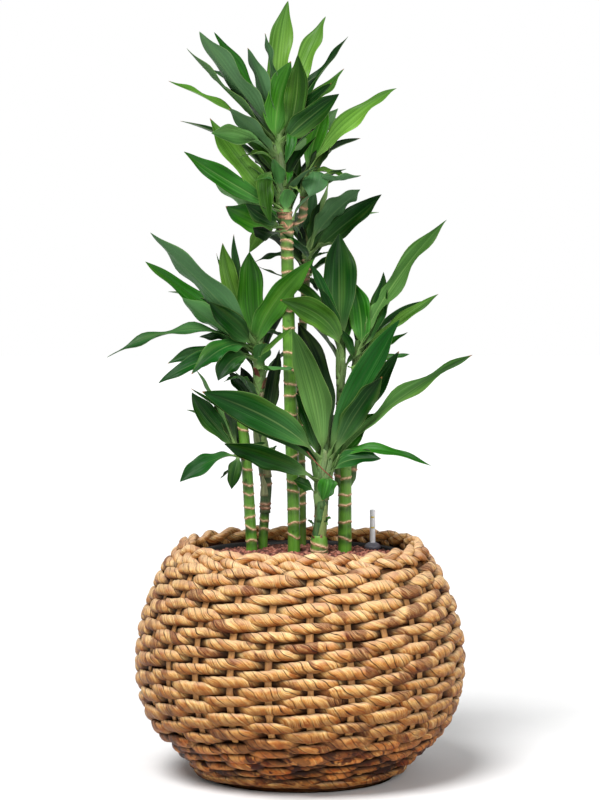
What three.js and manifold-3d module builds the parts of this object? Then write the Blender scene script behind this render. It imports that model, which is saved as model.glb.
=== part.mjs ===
// A potted dracaena: six canes with leafy shoots, rooted in clay granules in a plastic liner,
// which stands in a round woven basket. A water-level gauge stands in the granules.
// Millimetres, +Z up. The origin is the centre of the basket's base, on the floor.

import * as THREE from 'three';
import { mergeVertices } from 'three/addons/utils/BufferGeometryUtils.js';
import Module from 'manifold-3d';

const wasm = await Module();
wasm.setup();

// ---------- driving dimensions ----------

const GAP = 0.3;                     // clearance between pieces that touch

// Basket: the outer envelope of the weave, as [height, radius].
const BASKET_ENVELOPE = [
  [0, 137], [30, 167], [66, 201], [110, 219.5], [160, 225], [210, 218], [260, 201.5], [303, 182],
];
const STAKES = 25;                   // an odd number, so one weft runs on as a spiral
const WEFT_ROWS = 16;                // larger than life: the real weave is finer, with about 27
const WEFT_STANDS_OUT = 5;           // a strand's outer face beyond the stakes' plane, between stakes
const WEFT_OVER = 4.5;               // how much further it stands out where it passes over a stake
const STAKE_HALF_THICKNESS = 1.5;
const WALL_DEPTH = 18;               // from the envelope to the plain inner face
const WALL_INNER_HEIGHTS = [215, 80];   // where the inner face bends, between its top and the base
const WALL_TOP_OUTER = 300.3;
const WALL_TOP_INNER = 293.8;
const BASE_THICKNESS = 12;

const RIM_CENTRE_RADIUS = 161;
const RIM_CENTRE_HEIGHT = 311;
const RIM_HALF_THICKNESS = 16;
const RIM_STRAND_RELIEF = 2.6;
const RIM_STRANDS = 3;
const RIM_TURNS = 22;                // times that the plait turns over on its way round
const RIM_STEPS = 60;
const RIM_SIDES = 8;

const LINER_TOP = 302;
const LINER_RADIUS = 141;
const LINER_OUTLINE = [[118, 0], [130, 14], [LINER_RADIUS, 58]];   // [radius, height over its underside]
const LINER_THICKNESS = 3;
const LINER_LIP = 5;                 // how far the lip stands out, and half its height
const LINER_LIP_ROUNDING = 3;
const LINER_SIDES = 28;

const GRANULES_EDGE_HEIGHT = 294;
const GRANULES_MOUND = 6;
const GRANULE_BUMP = 1.3;
const MOUND_RINGS = 8;
const MOUND_CENTRE_RING = 0.6;       // radius of the innermost ring, in ring spacings
const HOLE_CLEARANCE = 1.2;          // round a cane: its ring scars and the gap

const BURIED_END = 200;              // height of the canes' lower ends, inside the granules
const SCAR_STANDS_OUT = 0.7;
const SCAR_HEIGHT = 1.6;
const SET_IN_ABOVE_SCAR = 0.2;
const CANE_FOOT_SHARE = 0.8;         // the buried end is cut narrower than the cane
const CANE_TOP_ROUNDING = 1.2;
const CANE_TOP_ROUNDED_OVER = 2;
const CANE_SIDES = 7;

const GAUGE_X = 100;
const GAUGE_Y = 76;
const GAUGE_FOOT_RADIUS = 11.5;
const GAUGE_FOOT_HEIGHT = 10;
const GAUGE_SHAFT_RADIUS = 9;
const GAUGE_BORE_RADIUS = 7;
const GAUGE_SHAFT_BOTTOM = 90;       // above the liner's rounded foot
const GAUGE_FLOOR = 2;
const GAUGE_WATER_HOLE = 2;
const GAUGE_COLLAR_WALL = 1.5;
const GAUGE_COLLAR_DEPTH = 4;        // above the granules, where the bore narrows to the sight tube
const GAUGE_SIDES = 12;
const SIGHT_TUBE_RADIUS = 3.85;
const SIGHT_TUBE_BORE = 2.6;
const SIGHT_TUBE_TOP = 352;
const FLOAT_RADIUS = 6;
const FLOAT_HEIGHT = 60;
const FLOAT_PIN_RADIUS = 1.6;
const FLOAT_PIN_TOP = 327;

const SIGHT_TUBE_ROUNDING = 0.6;
const SIGHT_TUBE_CAP = 1.5;

const BLADE_THICKNESS = 2;           // at the midrib
const BLADE_FOLD = 0.15;             // rise of the edges over the midrib, as a share of the width
const BLADE_STATIONS = [0, 0.2, 0.46, 0.76];
const WAVED_STATIONS = [0, 0.15, 0.3, 0.45, 0.6, 0.75, 0.88];
const WIDEST_AT = 0.5;
const BASE_WIDTH_SHARE = 0.16;
const BASE_FULLNESS = 1.25;
const TIP_FULLNESS = 2.3;
const WAVES = 3;
const LEAVING_SHARE = 0.16;          // of a leaf's length, over which it leaves the stem
const LEAVING_UPWARD = 0.35;         // how much a level leaf turns up where it leaves the stem
const LEAVING_STEEPER = 0.25;        // and how much more a leaf does that rises straight up
const LEAVING_OUTWARD = 0.4;
const GOLDEN_SHARE = 0.618;          // spreads the hidden leaves' bases evenly up a stem
const ROOT_OFFSET = 3;               // from the stem's centre line, so roots beside each other stay clear
const STEM_SIDES = 6;

// ---------- canes: path points, radius and the heights of the ring scars ----------

const CANES = {
  cane_a: {
    radius: 7.5,
    path: [[-66, 45, BURIED_END], [-66, 45, 306], [-72, 45, 408], [-76, 45, 455], [-79, 45, 477]],
    scars: [313, 332, 347, 361, 379, 392, 412, 433, 466],
  },
  cane_b: {
    radius: 6.5,
    path: [[-51, 70, BURIED_END], [-51, 70, 308], [-48, 70, 355]],
    scars: [325, 339, 352],
  },
  cane_c: {
    radius: 8.6,
    path: [
      [-8, 25, BURIED_END], [-8, 25, 304], [-9, 24, 374], [-12, 23, 469], [-15, 22, 595],
      [-17, 21, 697], [-18, 20.5, 731],
    ],
    scars: [
      324, 339, 360, 384, 398, 418, 431, 455, 473, 491, 515, 531, 552, 572, 607, 632, 656, 681, 700,
      714, 722,
    ],
  },
  cane_d: {
    radius: 5.6,
    path: [[3, 115, BURIED_END], [3, 115, 318], [3, 115, 375], [-1, 114, 530], [7, 112, 650], [8, 111, 662]],
    scars: [332, 356, 392, 415, 466, 518, 566, 612, 634, 648],
  },
  cane_e: {
    radius: 11.8,
    path: [[26, 5, BURIED_END], [26, 5, 300], [26, 5, 326]],
    scars: [308, 316],
  },
  cane_f: {
    radius: 9.2,
    path: [[61, 30, BURIED_END], [61, 30, 305], [61, 30, 419]],
    scars: [319, 340, 364, 378, 402],
  },
};

// ---------- shoots: a sheathed stem and its leaves ----------
// Each leaf: height of its base on the stem, a point halfway along its midline (x, y, z), its tip (x, y, z),
// its width, the azimuth that its upper face turns away from, how far the blade is banked about its
// midline at the tip, in degrees, and the height of the waves in its edges.

const SHOOTS = {
  shoot_a: {
    grownFrom: ['cane_a'],
    stem: [[-73, 43, 421], [-82, 41, 432], [-86, 39, 446]],
    radii: [5, 4.6, 3.4],
    leaves: [
      [437, -118, 40, 472, -147, 38, 517, 31, 110, 0, 0],
      [440, -100, 52, 480, -117, 58, 511, 24, 105, 0, 0],
      [432, -122, 27, 430, -163, 14, 398, 27, 200, -55, 0],
      [430, -88, 28, 412, -93, 24, 386, 19, 262, 0, 0],
      [428, -98, 38, 406, -109, 40, 399, 9, 190, 0, 0],
      [442, -116, 30, 508, -141, 24, 549, 11, 215, 0, 0],
    ],
    hidden: { azimuths: [108, 150], low: 428, high: 440, reach: 100, rise: 45 },
  },
  shoot_b: {
    grownFrom: ['cane_b'],
    stem: [[-48, 70, 355.3], [-46, 70, 387], [-51, 70, 422], [-55, 70, 456], [-56, 70, 550], [-58, 70, 598]],
    radii: [7.2, 7.6, 8, 7.6, 6.6, 3.6],
    leaves: [
      [575, -120, 32, 652, -201, 0, 735, 37, 250, 0, 0],
      [572, -138, 84, 636, -213, 96, 693, 26, 112, 0, 0],
      [566, -168, 52, 608, -263, 34, 563, 20, 150, -50, 3],
      [572, -118, 50, 606, -160, 40, 646, 34, 250, 0, 0],
      [576, -92, 44, 606, -123, 28, 641, 30, 112, 0, 0],
      [588, -98, 78, 655, -106, 84, 719, 25, 98, 0, 0],
      [590, -88, 92, 660, -91, 100, 731, 13, 160, 0, 0],
      [592, -106, 96, 660, -115, 104, 704, 7, 150, 0, 0],
      [582, -68, 66, 645, -69, 70, 707, 37, 92, 0, 0],
      [570, -46, 14, 634, 19, -18, 700, 34, 82, 0, 0],
      [563, -106, 40, 586, -147, 12, 543, 27, 195, -60, 0],
      [560, -132, 62, 576, -181, 52, 555, 22, 190, -55, 0],
      [558, -136, 44, 564, -192, 24, 530, 24, 190, -60, 0],
      [556, -98, 30, 566, -111, 18, 534, 30, 215, -50, 0],
      [545, -36, 10, 553, -9, -4, 552, 15, 60, 0, 0],
      [562, -41, 8, 580, -11, -2, 608, 7, 60, 0, 0],
      [588, -40, 60, 600, -20, 66, 590, 13, 60, 0, 0],
      [445, -40, 58, 508, -28, 46, 575, 20, 80, 0, 0],
      [566, -112, 74, 592, -138, 78, 590, 15, 180, -50, 0],
      [520, -84, 50, 540, -104, 40, 531, 13, 220, 0, 0],
      [505, -78, 46, 530, -88, 36, 545, 11, 200, 0, 0],
      [498, -66, 42, 520, -74, 30, 536, 12, 240, 0, 0],
      [425, -38, 52, 436, -32, 42, 444, 9, 300, 0, 0],
    ],
    hidden: { azimuths: [84, 108, 132, 158], low: 545, high: 592, reach: 150, rise: 75 },
  },
  shoot_c_top: {
    grownFrom: ['cane_c'],
    stem: [[-18, 20.5, 731.3], [-21, 20, 765], [-25, 20, 797], [-29, 20, 835], [-28, 20, 885]],
    radii: [8.6, 8.6, 7.6, 6.4, 3.6],
    leaves: [
      [880, -30, 42, 968, -16, 62, 1047, 31, 85, 0, 0],
      [876, -38, 18, 955, -47, 8, 1001, 20, 205, 0, 0],
      [874, 3, 42, 958, 35, 64, 1026, 27, 70, 0, 0],
      [870, 18, 28, 934, 65, 34, 998, 22, 40, 0, 0],
      [860, 15, 48, 905, 60, 72, 956, 24, 60, 0, 0],
      [866, 12, 0, 908, 42, -8, 934, 18, 60, 0, 2],
      [850, 8, -12, 884, 52, -38, 919, 30, 65, 0, 0],
      [838, 22, 52, 866, 52, 64, 902, 26, -75, 0, 0],
      [846, -33, 6, 908, -12, 14, 964, 38, 92, 0, 2],
      [850, 0, -4, 912, -3, -12, 972, 29, 86, 0, 0],
      [862, -86, -14, 930, -133, -42, 1001, 38, 248, 0, 0],
      [866, -74, 34, 938, -116, 44, 1004, 22, 130, 0, 0],
      [856, -100, -2, 922, -151, -12, 980, 22, 205, 0, 0],
      [870, -52, 4, 930, -70, -4, 981, 26, 230, 0, 0],
      [848, -108, 6, 908, -176, -2, 937, 18, 190, -35, 0],
      [836, -62, -18, 868, -94, -46, 900, 27, 245, 0, 0],
      [766, -76, 4, 818, -121, 10, 888, 31, 110, 0, 0],
      [834, -78, -8, 866, -118, -28, 867, 31, 195, -60, 0],
      [824, -55, -2, 846, -82, -8, 834, 14, 200, 0, 0],
      [762, -94, -8, 798, -155, -20, 843, 27, 112, 0, 0],
      [752, -78, 22, 770, -119, 28, 808, 24, 245, 0, 0],
      [788, -42, 2, 810, -61, -6, 803, 11, 170, 0, 0],
      [795, -42, 42, 818, -63, 60, 837, 26, 120, 0, 0],
      [812, -52, -6, 800, -39, -16, 748, 24, 262, 0, 0],
      [740, -66, 8, 745, -100, 4, 770, 36, 108, 0, 0],
      [744, -48, -4, 754, -73, -16, 774, 24, 108, 0, 0],
      [736, -42, -8, 730, -63, -18, 742, 27, 100, 0, 0],
      [746, -50, 34, 738, -69, 38, 706, 20, 255, 0, 0],
      [856, -5, 0, 866, -20, -14, 826, 20, 270, 0, 0],
      [796, -10, -2, 822, -17, -12, 800, 15, 280, 0, 0],
      [782, -8, 2, 800, 1, -6, 786, 9, 330, 0, 0],
    ],
    hidden: { azimuths: [38, 100, 62, 140, 84, 160], low: 775, high: 872, reach: 150, rise: 85 },
  },
  shoot_c_side: {
    grownFrom: ['cane_c', 'shoot_c_top'],
    stem: [[-10, 25, 742], [3, 30, 752], [6, 32, 785], [9, 33, 818]],
    radii: [4.4, 4.2, 4, 3],
    leaves: [
      [815, 66, 26, 886, 130, 20, 928, 29, 58, 0, 0],
      [812, 26, 30, 832, 40, 32, 857, 22, 60, 0, 0],
      [812, 24, 12, 812, 12, 0, 783, 34, 90, 0, 0],
      [812, 38, 28, 818, 63, 32, 808, 16, 20, 40, 0],
      [806, 50, 16, 800, 82, 6, 811, 30, -72, 0, 0],
      [814, 20, 42, 864, 38, 52, 905, 30, 80, 0, 0],
    ],
    hidden: { azimuths: [62], low: 800, high: 812, reach: 110, rise: 50 },
  },
  shoot_d: {
    grownFrom: ['cane_d'],
    stem: [[8, 111, 662.3], [9, 110, 700], [10, 108, 738]],
    radii: [5.6, 5.4, 3.4],
    leaves: [
      [700, 64, 100, 744, 112, 92, 785, 30, 70, 0, 0],
      [715, 48, 82, 764, 82, 62, 792, 36, -72, 0, 0],
      [708, 30, 114, 760, 40, 114, 803, 12, -25, 0, 0],
      [705, 17, 100, 745, 28, 98, 775, 13, 60, 0, 0],
      [712, 14, 124, 758, 20, 132, 792, 20, -80, 0, 0],
      [700, 2, 104, 722, 3, 98, 742, 12, 90, 0, 0],
      [692, 7, 34, 712, -25, 0, 735, 10, 120, 0, 0],
      [702, 36, 92, 718, 50, 84, 717, 16, -30, 0, 0],
      [690, 26, 98, 703, 42, 94, 706, 8, 20, 0, 0],
      [688, -26, 116, 706, -62, 112, 692, 12, 170, -40, 2],
      [672, -25, 112, 668, -58, 108, 686, 8, 170, 0, 0],
      [670, 18, 102, 664, 24, 96, 652, 11, 300, 0, 0],
      [672, -2, 102, 668, -8, 96, 658, 9, 240, 0, 0],
    ],
    hidden: { azimuths: [60, 150, 95, 178, 30, 125], low: 672, high: 728, reach: 130, rise: 75 },
  },
  shoot_e: {
    grownFrom: ['cane_e'],
    stem: [[26, 5, 326.3], [28, 5, 345], [30, 5, 390], [33, 5, 430], [34, 5, 450]],
    radii: [10.4, 8.6, 8.2, 7, 4],
    leaves: [
      [440, -48, -36, 494, -130, -70, 526, 42, 108, 0, 0],
      [434, -50, -14, 468, -146, -36, 528, 18, 130, 0, 0],
      [412, -42, -38, 436, -101, -62, 456, 32, 106, 0, 0],
      [440, 22, -20, 522, -11, -40, 608, 42, 90, 0, 0],
      [444, 76, -6, 530, 134, -16, 619, 33, 78, 0, 0],
      [438, 92, 10, 508, 134, 12, 575, 28, 75, 0, 0],
      [436, 80, -14, 500, 110, -24, 543, 30, 80, 0, 0],
      [434, 122, -6, 506, 231, -24, 572, 25, 60, 0, 2],
      [430, 72, 12, 462, 101, 16, 490, 34, 68, 0, 0],
      [425, 98, -12, 454, 176, -28, 423, 17, 20, 50, 0],
      [408, 72, -14, 434, 109, -24, 432, 27, 40, 45, 0],
      [385, 2, -8, 396, -9, -14, 402, 17, 130, 0, 0],
      [400, 38, -14, 398, 30, -20, 372, 26, 280, 0, 0],
      [338, 15, 0, 344, 10, -3, 347, 6, 150, 0, 0],
      [340, 38, 0, 350, 42, -3, 349, 7, 20, 0, 0],
      [436, 12, -2, 486, -6, -8, 519, 20, 110, 0, 0],
      [442, 30, 30, 540, -3, 42, 612, 40, 88, 0, 0],
    ],
    hidden: { azimuths: [84, 126, 98], low: 408, high: 440, reach: 130, rise: 60 },
  },
  shoot_f_left: {
    grownFrom: ['cane_f'],
    stem: [[49, 27, 396], [51, 27, 425], [54, 28, 455], [55, 28, 531], [57, 28, 596]],
    radii: [5.4, 5.6, 5.6, 5.6, 3.4],
    leaves: [
      [582, 53, 34, 660, 53, 38, 733, 46, 90, 0, 0],
      [575, 38, 18, 650, 12, 10, 695, 15, 110, 0, 0],
      [572, 44, 10, 628, 25, 2, 662, 16, 115, 0, 0],
      [566, 32, -6, 632, -27, -14, 645, 34, 100, 0, 0],
    ],
    hidden: { azimuths: [100, 135], low: 555, high: 585, reach: 120, rise: 80 },
  },
  shoot_f_right: {
    grownFrom: ['cane_f'],
    stem: [[72, 36, 398], [74, 38, 450], [76, 38, 500], [77, 36, 555], [78, 35, 588]],
    radii: [5.4, 5.4, 5.6, 5.4, 3.4],
    leaves: [
      [576, 84, 34, 618, 70, 38, 670, 30, 92, 0, 0],
      [574, 108, 30, 618, 113, 34, 681, 24, 78, 0, 0],
      [572, 124, 26, 664, 198, 16, 752, 28, 66, 0, 4],
      [566, 132, 36, 612, 188, 36, 651, 15, 30, 45, 0],
      [568, 108, 50, 618, 128, 58, 661, 18, -60, 0, 0],
      [558, 118, 50, 580, 147, 54, 598, 9, 20, 40, 0],
      [552, 120, 40, 562, 149, 38, 569, 11, 20, 50, 0],
      [556, 66, 20, 588, 55, 12, 604, 12, 110, 0, 0],
      [548, 68, 24, 554, 72, 16, 548, 10, 300, 0, 0],
    ],
    hidden: { azimuths: [32, 78, 54], low: 545, high: 575, reach: 120, rise: 70 },
  },
};

// ---------- small helpers ----------

const vector = ([x, y, z]) => new THREE.Vector3(x, y, z);

// Random numbers from 0 to 1, the same on each run.
function seededRandom(seed) {
  let state = seed;
  return () => {
    state = (state * 1664525 + 1013904223) % 4294967296;
    return state / 4294967296;
  };
}

// A closed geometry from rings of points, all of one count, with flat or pointed ends. A blade's ring
// runs along its lower face and back along its upper one, and the two are split into triangles alike,
// so that they never cross.
function skin(rings, { pointedEnd = null, blade = false } = {}) {
  const sides = rings[0].length;
  const positions = rings.flat().flatMap((p) => [p.x, p.y, p.z]);
  const faces = [];
  for (let i = 0; i < rings.length - 1; i += 1) {
    for (let j = 0; j < sides; j += 1) {
      const a = i * sides + j;
      const b = i * sides + ((j + 1) % sides);
      if (blade && j >= sides / 2) {
        faces.push([a, b, a + sides], [b, b + sides, a + sides]);
      } else {
        faces.push([a, b, b + sides], [a, b + sides, a + sides]);
      }
    }
  }
  for (let j = 1; j < sides - 1; j += 1) {
    faces.push([0, j + 1, j]);
  }
  const last = (rings.length - 1) * sides;
  if (pointedEnd) {
    const tip = positions.length / 3;
    positions.push(pointedEnd.x, pointedEnd.y, pointedEnd.z);
    for (let j = 0; j < sides; j += 1) {
      faces.push([last + j, last + ((j + 1) % sides), tip]);
    }
  } else {
    for (let j = 1; j < sides - 1; j += 1) {
      faces.push([last, last + j, last + j + 1]);
    }
  }
  return facingOut(positions, faces);
}

// Indexed geometry whose faces point out: they are turned round where the volume comes out negative.
function facingOut(positions, faces) {
  const point = (i) => new THREE.Vector3(positions[3 * i], positions[3 * i + 1], positions[3 * i + 2]);
  const volume = faces.reduce((sum, [a, b, c]) => sum + point(a).dot(point(b).cross(point(c))), 0);
  const indices = faces.flatMap(([a, b, c]) => (volume < 0 ? [a, c, b] : [a, b, c]));
  const geometry = new THREE.BufferGeometry();
  geometry.setAttribute('position', new THREE.Float32BufferAttribute(positions, 3));
  geometry.setIndex(indices);
  return geometry;
}

function toSolid(geometry) {
  const bare = geometry.clone();
  bare.deleteAttribute('normal');
  bare.deleteAttribute('uv');
  const merged = mergeVertices(bare, 1e-5);
  const vertProperties = new Float32Array(merged.attributes.position.array);
  const triVerts = new Uint32Array(merged.index.array);
  return new wasm.Manifold(new wasm.Mesh({ numProp: 3, vertProperties, triVerts }));
}

// The largest body of a solid, with any hollow that fusing has sealed filled, and no loose scraps.
function mainBody(solid) {
  return solid.decompose().reduce((best, body) => (body.volume() > best.volume() ? body : best));
}

function toGeometry(solid) {
  const mesh = solid.getMesh();
  const geometry = new THREE.BufferGeometry();
  geometry.setAttribute('position', new THREE.Float32BufferAttribute(mesh.vertProperties, 3));
  geometry.setIndex(Array.from(mesh.triVerts));
  return geometry;
}

// A round bar along a smooth path. stations are shares of the path, radii the radius at each.
function bar(points, stations, radii, sides) {
  const curve = new THREE.CatmullRomCurve3(points.map(vector), false, 'centripetal');
  const rings = stations.map((share, i) => {
    const centre = curve.getPointAt(share);
    const along = curve.getTangentAt(share);
    const across = new THREE.Vector3(1, 0, 0).addScaledVector(along, -along.x).normalize();
    const up = new THREE.Vector3().crossVectors(along, across);
    return Array.from({ length: sides }, (_, j) => {
      const angle = (2 * Math.PI * j) / sides;
      return centre.clone()
        .addScaledVector(across, radii[i] * Math.cos(angle))
        .addScaledVector(up, radii[i] * Math.sin(angle));
    });
  });
  return skin(rings);
}

function envelopeRadius(height) {
  const spline = new THREE.SplineCurve(BASKET_ENVELOPE.map(([z, r]) => new THREE.Vector2(z, r)));
  let low = 0;
  let high = 1;
  for (let i = 0; i < 30; i += 1) {
    const middle = (low + high) / 2;
    if (spline.getPoint(middle).x < height) {
      low = middle;
    } else {
      high = middle;
    }
  }
  return spline.getPoint(low).y;
}

// ---------- basket ----------

// The weave as relief: over a stake a strand stands out, and behind it the stake shows.
function weaveRadius(envelope, row, column, onRow) {
  const stakePlane = envelope - WEFT_STANDS_OUT - WEFT_OVER;
  const atStake = column % 2 === 0;
  if (!atStake) {
    return onRow ? stakePlane + WEFT_STANDS_OUT : stakePlane;
  }
  const over = (row + column / 2) % 2 === 0;
  return onRow && over ? envelope : stakePlane + STAKE_HALF_THICKNESS;
}

function basketWall() {
  const columns = 2 * STAKES;
  const rings = [];
  const ring = (height, radiusAt) => Array.from({ length: columns }, (_, column) => {
    const angle = (2 * Math.PI * column) / columns;
    const radius = radiusAt(column);
    return new THREE.Vector3(radius * Math.cos(angle), radius * Math.sin(angle), height);
  });
  rings.push(ring(0, () => envelopeRadius(0) - WEFT_STANDS_OUT));
  const pitch = WALL_TOP_OUTER / WEFT_ROWS;
  for (let row = 0; row < WEFT_ROWS; row += 1) {
    const centre = (row + 0.5) * pitch;
    rings.push(ring(centre, (column) => weaveRadius(envelopeRadius(centre), row, column, true)));
    const top = (row + 1) * pitch;
    rings.push(ring(top, (column) => weaveRadius(envelopeRadius(top), row, column, false)));
  }
  for (const height of [WALL_TOP_INNER, ...WALL_INNER_HEIGHTS, BASE_THICKNESS]) {
    rings.push(ring(height, () => envelopeRadius(height) - WALL_DEPTH));
  }
  return skin(rings);
}

// The plaited rim: strands wind over one another round a ring.
function basketRim() {
  const positions = [];
  const faces = [];
  for (let i = 0; i < RIM_STEPS; i += 1) {
    const angle = (2 * Math.PI * i) / RIM_STEPS;
    for (let j = 0; j < RIM_SIDES; j += 1) {
      const turn = (2 * Math.PI * j) / RIM_SIDES;
      const strand = Math.cos(RIM_STRANDS * turn + RIM_TURNS * angle);
      const thickness = RIM_HALF_THICKNESS - RIM_STRAND_RELIEF * (0.5 - 0.5 * strand);
      const radius = RIM_CENTRE_RADIUS + thickness * Math.cos(turn);
      const height = RIM_CENTRE_HEIGHT + thickness * Math.sin(turn);
      positions.push(radius * Math.cos(angle), radius * Math.sin(angle), height);
      const next = (i + 1) % RIM_STEPS;
      const beside = (j + 1) % RIM_SIDES;
      const a = i * RIM_SIDES + j;
      const b = next * RIM_SIDES + j;
      const c = next * RIM_SIDES + beside;
      const d = i * RIM_SIDES + beside;
      faces.push([a, b, c], [a, c, d]);
    }
  }
  return facingOut(positions, faces);
}

// A lathed piece whose axis stands up.
function lathed(profile, sides) {
  const geometry = new THREE.LatheGeometry(profile.map(([r, z]) => new THREE.Vector2(r, z)), sides);
  geometry.rotateX(Math.PI / 2);
  return toGeometry(toSolid(upright(geometry)));
}

// Merges the seam of a lathed geometry and turns its faces out.
function upright(geometry) {
  const bare = geometry.clone();
  bare.deleteAttribute('normal');
  bare.deleteAttribute('uv');
  const merged = mergeVertices(bare, 1e-4);
  const index = merged.index.array;
  const faces = [];
  for (let i = 0; i < index.length; i += 3) {
    const [a, b, c] = [index[i], index[i + 1], index[i + 2]];
    if (a !== b && b !== c && c !== a) {
      faces.push([a, b, c]);
    }
  }
  return facingOut(Array.from(merged.attributes.position.array), faces);
}

// ---------- liner, granules ----------

const linerUnderside = BASE_THICKNESS + GAP;
const linerFloor = linerUnderside + LINER_THICKNESS;
const linerInnerRadius = LINER_RADIUS - LINER_THICKNESS;
const linerOutside = LINER_OUTLINE.map(([r, z]) => [r, z + linerUnderside]);
const linerInside = linerOutside.map(([r, z]) => [r - LINER_THICKNESS, Math.max(z, linerFloor)]);

function liner() {
  const lipRadius = LINER_RADIUS + LINER_LIP;
  return lathed([
    [0, linerUnderside],
    ...linerOutside,
    [LINER_RADIUS, LINER_TOP - 2 * LINER_LIP],
    [lipRadius, LINER_TOP - 2 * LINER_LIP + LINER_LIP_ROUNDING],
    [lipRadius, LINER_TOP - LINER_LIP_ROUNDING],
    [lipRadius - LINER_LIP_ROUNDING, LINER_TOP],
    [linerInnerRadius, LINER_TOP - LINER_LIP_ROUNDING],
    ...[...linerInside].reverse(),
    [0, linerFloor],
  ], LINER_SIDES);
}

// The fill: its top is a low mound of granules, larger than life, as relief.
function granuleFill() {
  const random = seededRandom(7);
  const sides = LINER_SIDES;
  const edge = linerInnerRadius - GAP;
  const ring = (radius, height, bump) => Array.from({ length: sides }, (_, j) => {
    const angle = (2 * Math.PI * j) / sides;
    const lift = bump * (2 * random() - 1);
    return new THREE.Vector3(radius * Math.cos(angle), radius * Math.sin(angle), height + lift);
  });
  const rings = linerInside.map(([r, z]) => ring(r - GAP, z + GAP, 0));
  rings.push(ring(edge, GRANULES_EDGE_HEIGHT - 1, 0));
  for (let i = 1; i <= MOUND_RINGS; i += 1) {
    const radius = edge * (1 - i / (MOUND_RINGS + MOUND_CENTRE_RING));
    const mound = GRANULES_MOUND * (1 - (radius / edge) ** 2);
    rings.push(ring(radius, GRANULES_EDGE_HEIGHT + mound, GRANULE_BUMP));
  }
  const top = new THREE.Vector3(0, 0, GRANULES_EDGE_HEIGHT + GRANULES_MOUND);
  return toSolid(skin(rings, { pointedEnd: top }));
}

// ---------- canes ----------

// A cane with ring scars: each scar is a low ridge round it, with the cane set in just above.
function cane({ radius, path, scars }) {
  const bottom = path[0][2];
  const top = path[path.length - 1][2];
  const share = (height) => THREE.MathUtils.clamp((height - bottom) / (top - bottom), 0, 1);
  const stations = [0];
  const radii = [radius * CANE_FOOT_SHARE];
  for (const scar of scars) {
    stations.push(share(scar), share(scar + SCAR_HEIGHT));
    radii.push(radius + SCAR_STANDS_OUT, radius - SET_IN_ABOVE_SCAR);
  }
  stations.push(share(top - CANE_TOP_ROUNDED_OVER), 1);
  radii.push(radius, radius - CANE_TOP_ROUNDING);
  return toSolid(bar(path, stations, radii, CANE_SIDES));
}

// The room that a cane takes up: a plain bar round it, clear of its scars.
function caneRoom({ radius, path }, clearance) {
  const stations = [0, 0.2, 0.4, 0.6, 0.8, 1];
  return toSolid(bar(path, stations, stations.map(() => radius + clearance), CANE_SIDES));
}

// ---------- leaves ----------

// A leaf narrows to its base and comes to a point at its tip.
function widthShare(t) {
  if (t < WIDEST_AT) {
    const fullness = Math.sin((Math.PI / 2) * (t / WIDEST_AT) ** BASE_FULLNESS);
    return BASE_WIDTH_SHARE + (1 - BASE_WIDTH_SHARE) * fullness;
  }
  return 1 - ((t - WIDEST_AT) / (1 - WIDEST_AT)) ** TIP_FULLNESS;
}

// The midline leaves the stem upward, passes through the point halfway and ends at the tip.
// The steeper a leaf rises, the more it hugs the stem at first.
function midline(base, halfway, tip) {
  const length = base.distanceTo(halfway) + halfway.distanceTo(tip);
  const outward = halfway.clone().sub(base).normalize();
  const upward = LEAVING_UPWARD + LEAVING_STEEPER * outward.z;
  const leave = new THREE.Vector3(0, 0, upward).addScaledVector(outward, LEAVING_OUTWARD).normalize();
  const first = base.clone().addScaledVector(leave, LEAVING_SHARE * length);
  const second = halfway.clone().multiplyScalar(8).sub(base).sub(tip)
    .addScaledVector(first, -3).divideScalar(3);
  return new THREE.CubicBezierCurve3(base, first, second, tip);
}

function leafSolid({ base, halfway, tip, width, facing, bank, wave }) {
  const curve = midline(base, halfway, tip);
  const stations = wave > 0 ? WAVED_STATIONS : BLADE_STATIONS;
  const rings = stations.map((t) => {
    const centre = curve.getPoint(t);
    const along = curve.getTangent(t);
    const azimuth = THREE.MathUtils.degToRad(facing);
    const side = new THREE.Vector3(-Math.sin(azimuth), Math.cos(azimuth), 0);
    side.addScaledVector(along, -side.dot(along)).normalize();
    side.applyAxisAngle(along, THREE.MathUtils.degToRad(bank) * Math.sin((Math.PI / 2) * t));
    const up = new THREE.Vector3().crossVectors(along, side);
    const half = (width / 2) * widthShare(t);
    const rise = 2 * half * BLADE_FOLD;
    const ripple = wave * widthShare(t) * Math.sin(2 * Math.PI * WAVES * t);
    return [
      centre.clone().addScaledVector(side, -half).addScaledVector(up, rise + ripple),
      centre.clone().addScaledVector(up, -BLADE_THICKNESS / 2),
      centre.clone().addScaledVector(side, half).addScaledVector(up, rise - ripple),
      centre.clone().addScaledVector(up, BLADE_THICKNESS / 2),
    ];
  });
  return toSolid(skin(rings, { pointedEnd: tip, blade: true }));
}

// A point on a stem's centre line at a height.
function onStem(stem, height) {
  for (let i = 0; i < stem.length - 1; i += 1) {
    const [low, high] = [vector(stem[i]), vector(stem[i + 1])];
    if (height <= high.z || i === stem.length - 2) {
      return low.lerp(high, THREE.MathUtils.clamp((height - low.z) / (high.z - low.z), 0, 1));
    }
  }
  return vector(stem[0]);
}

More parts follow.
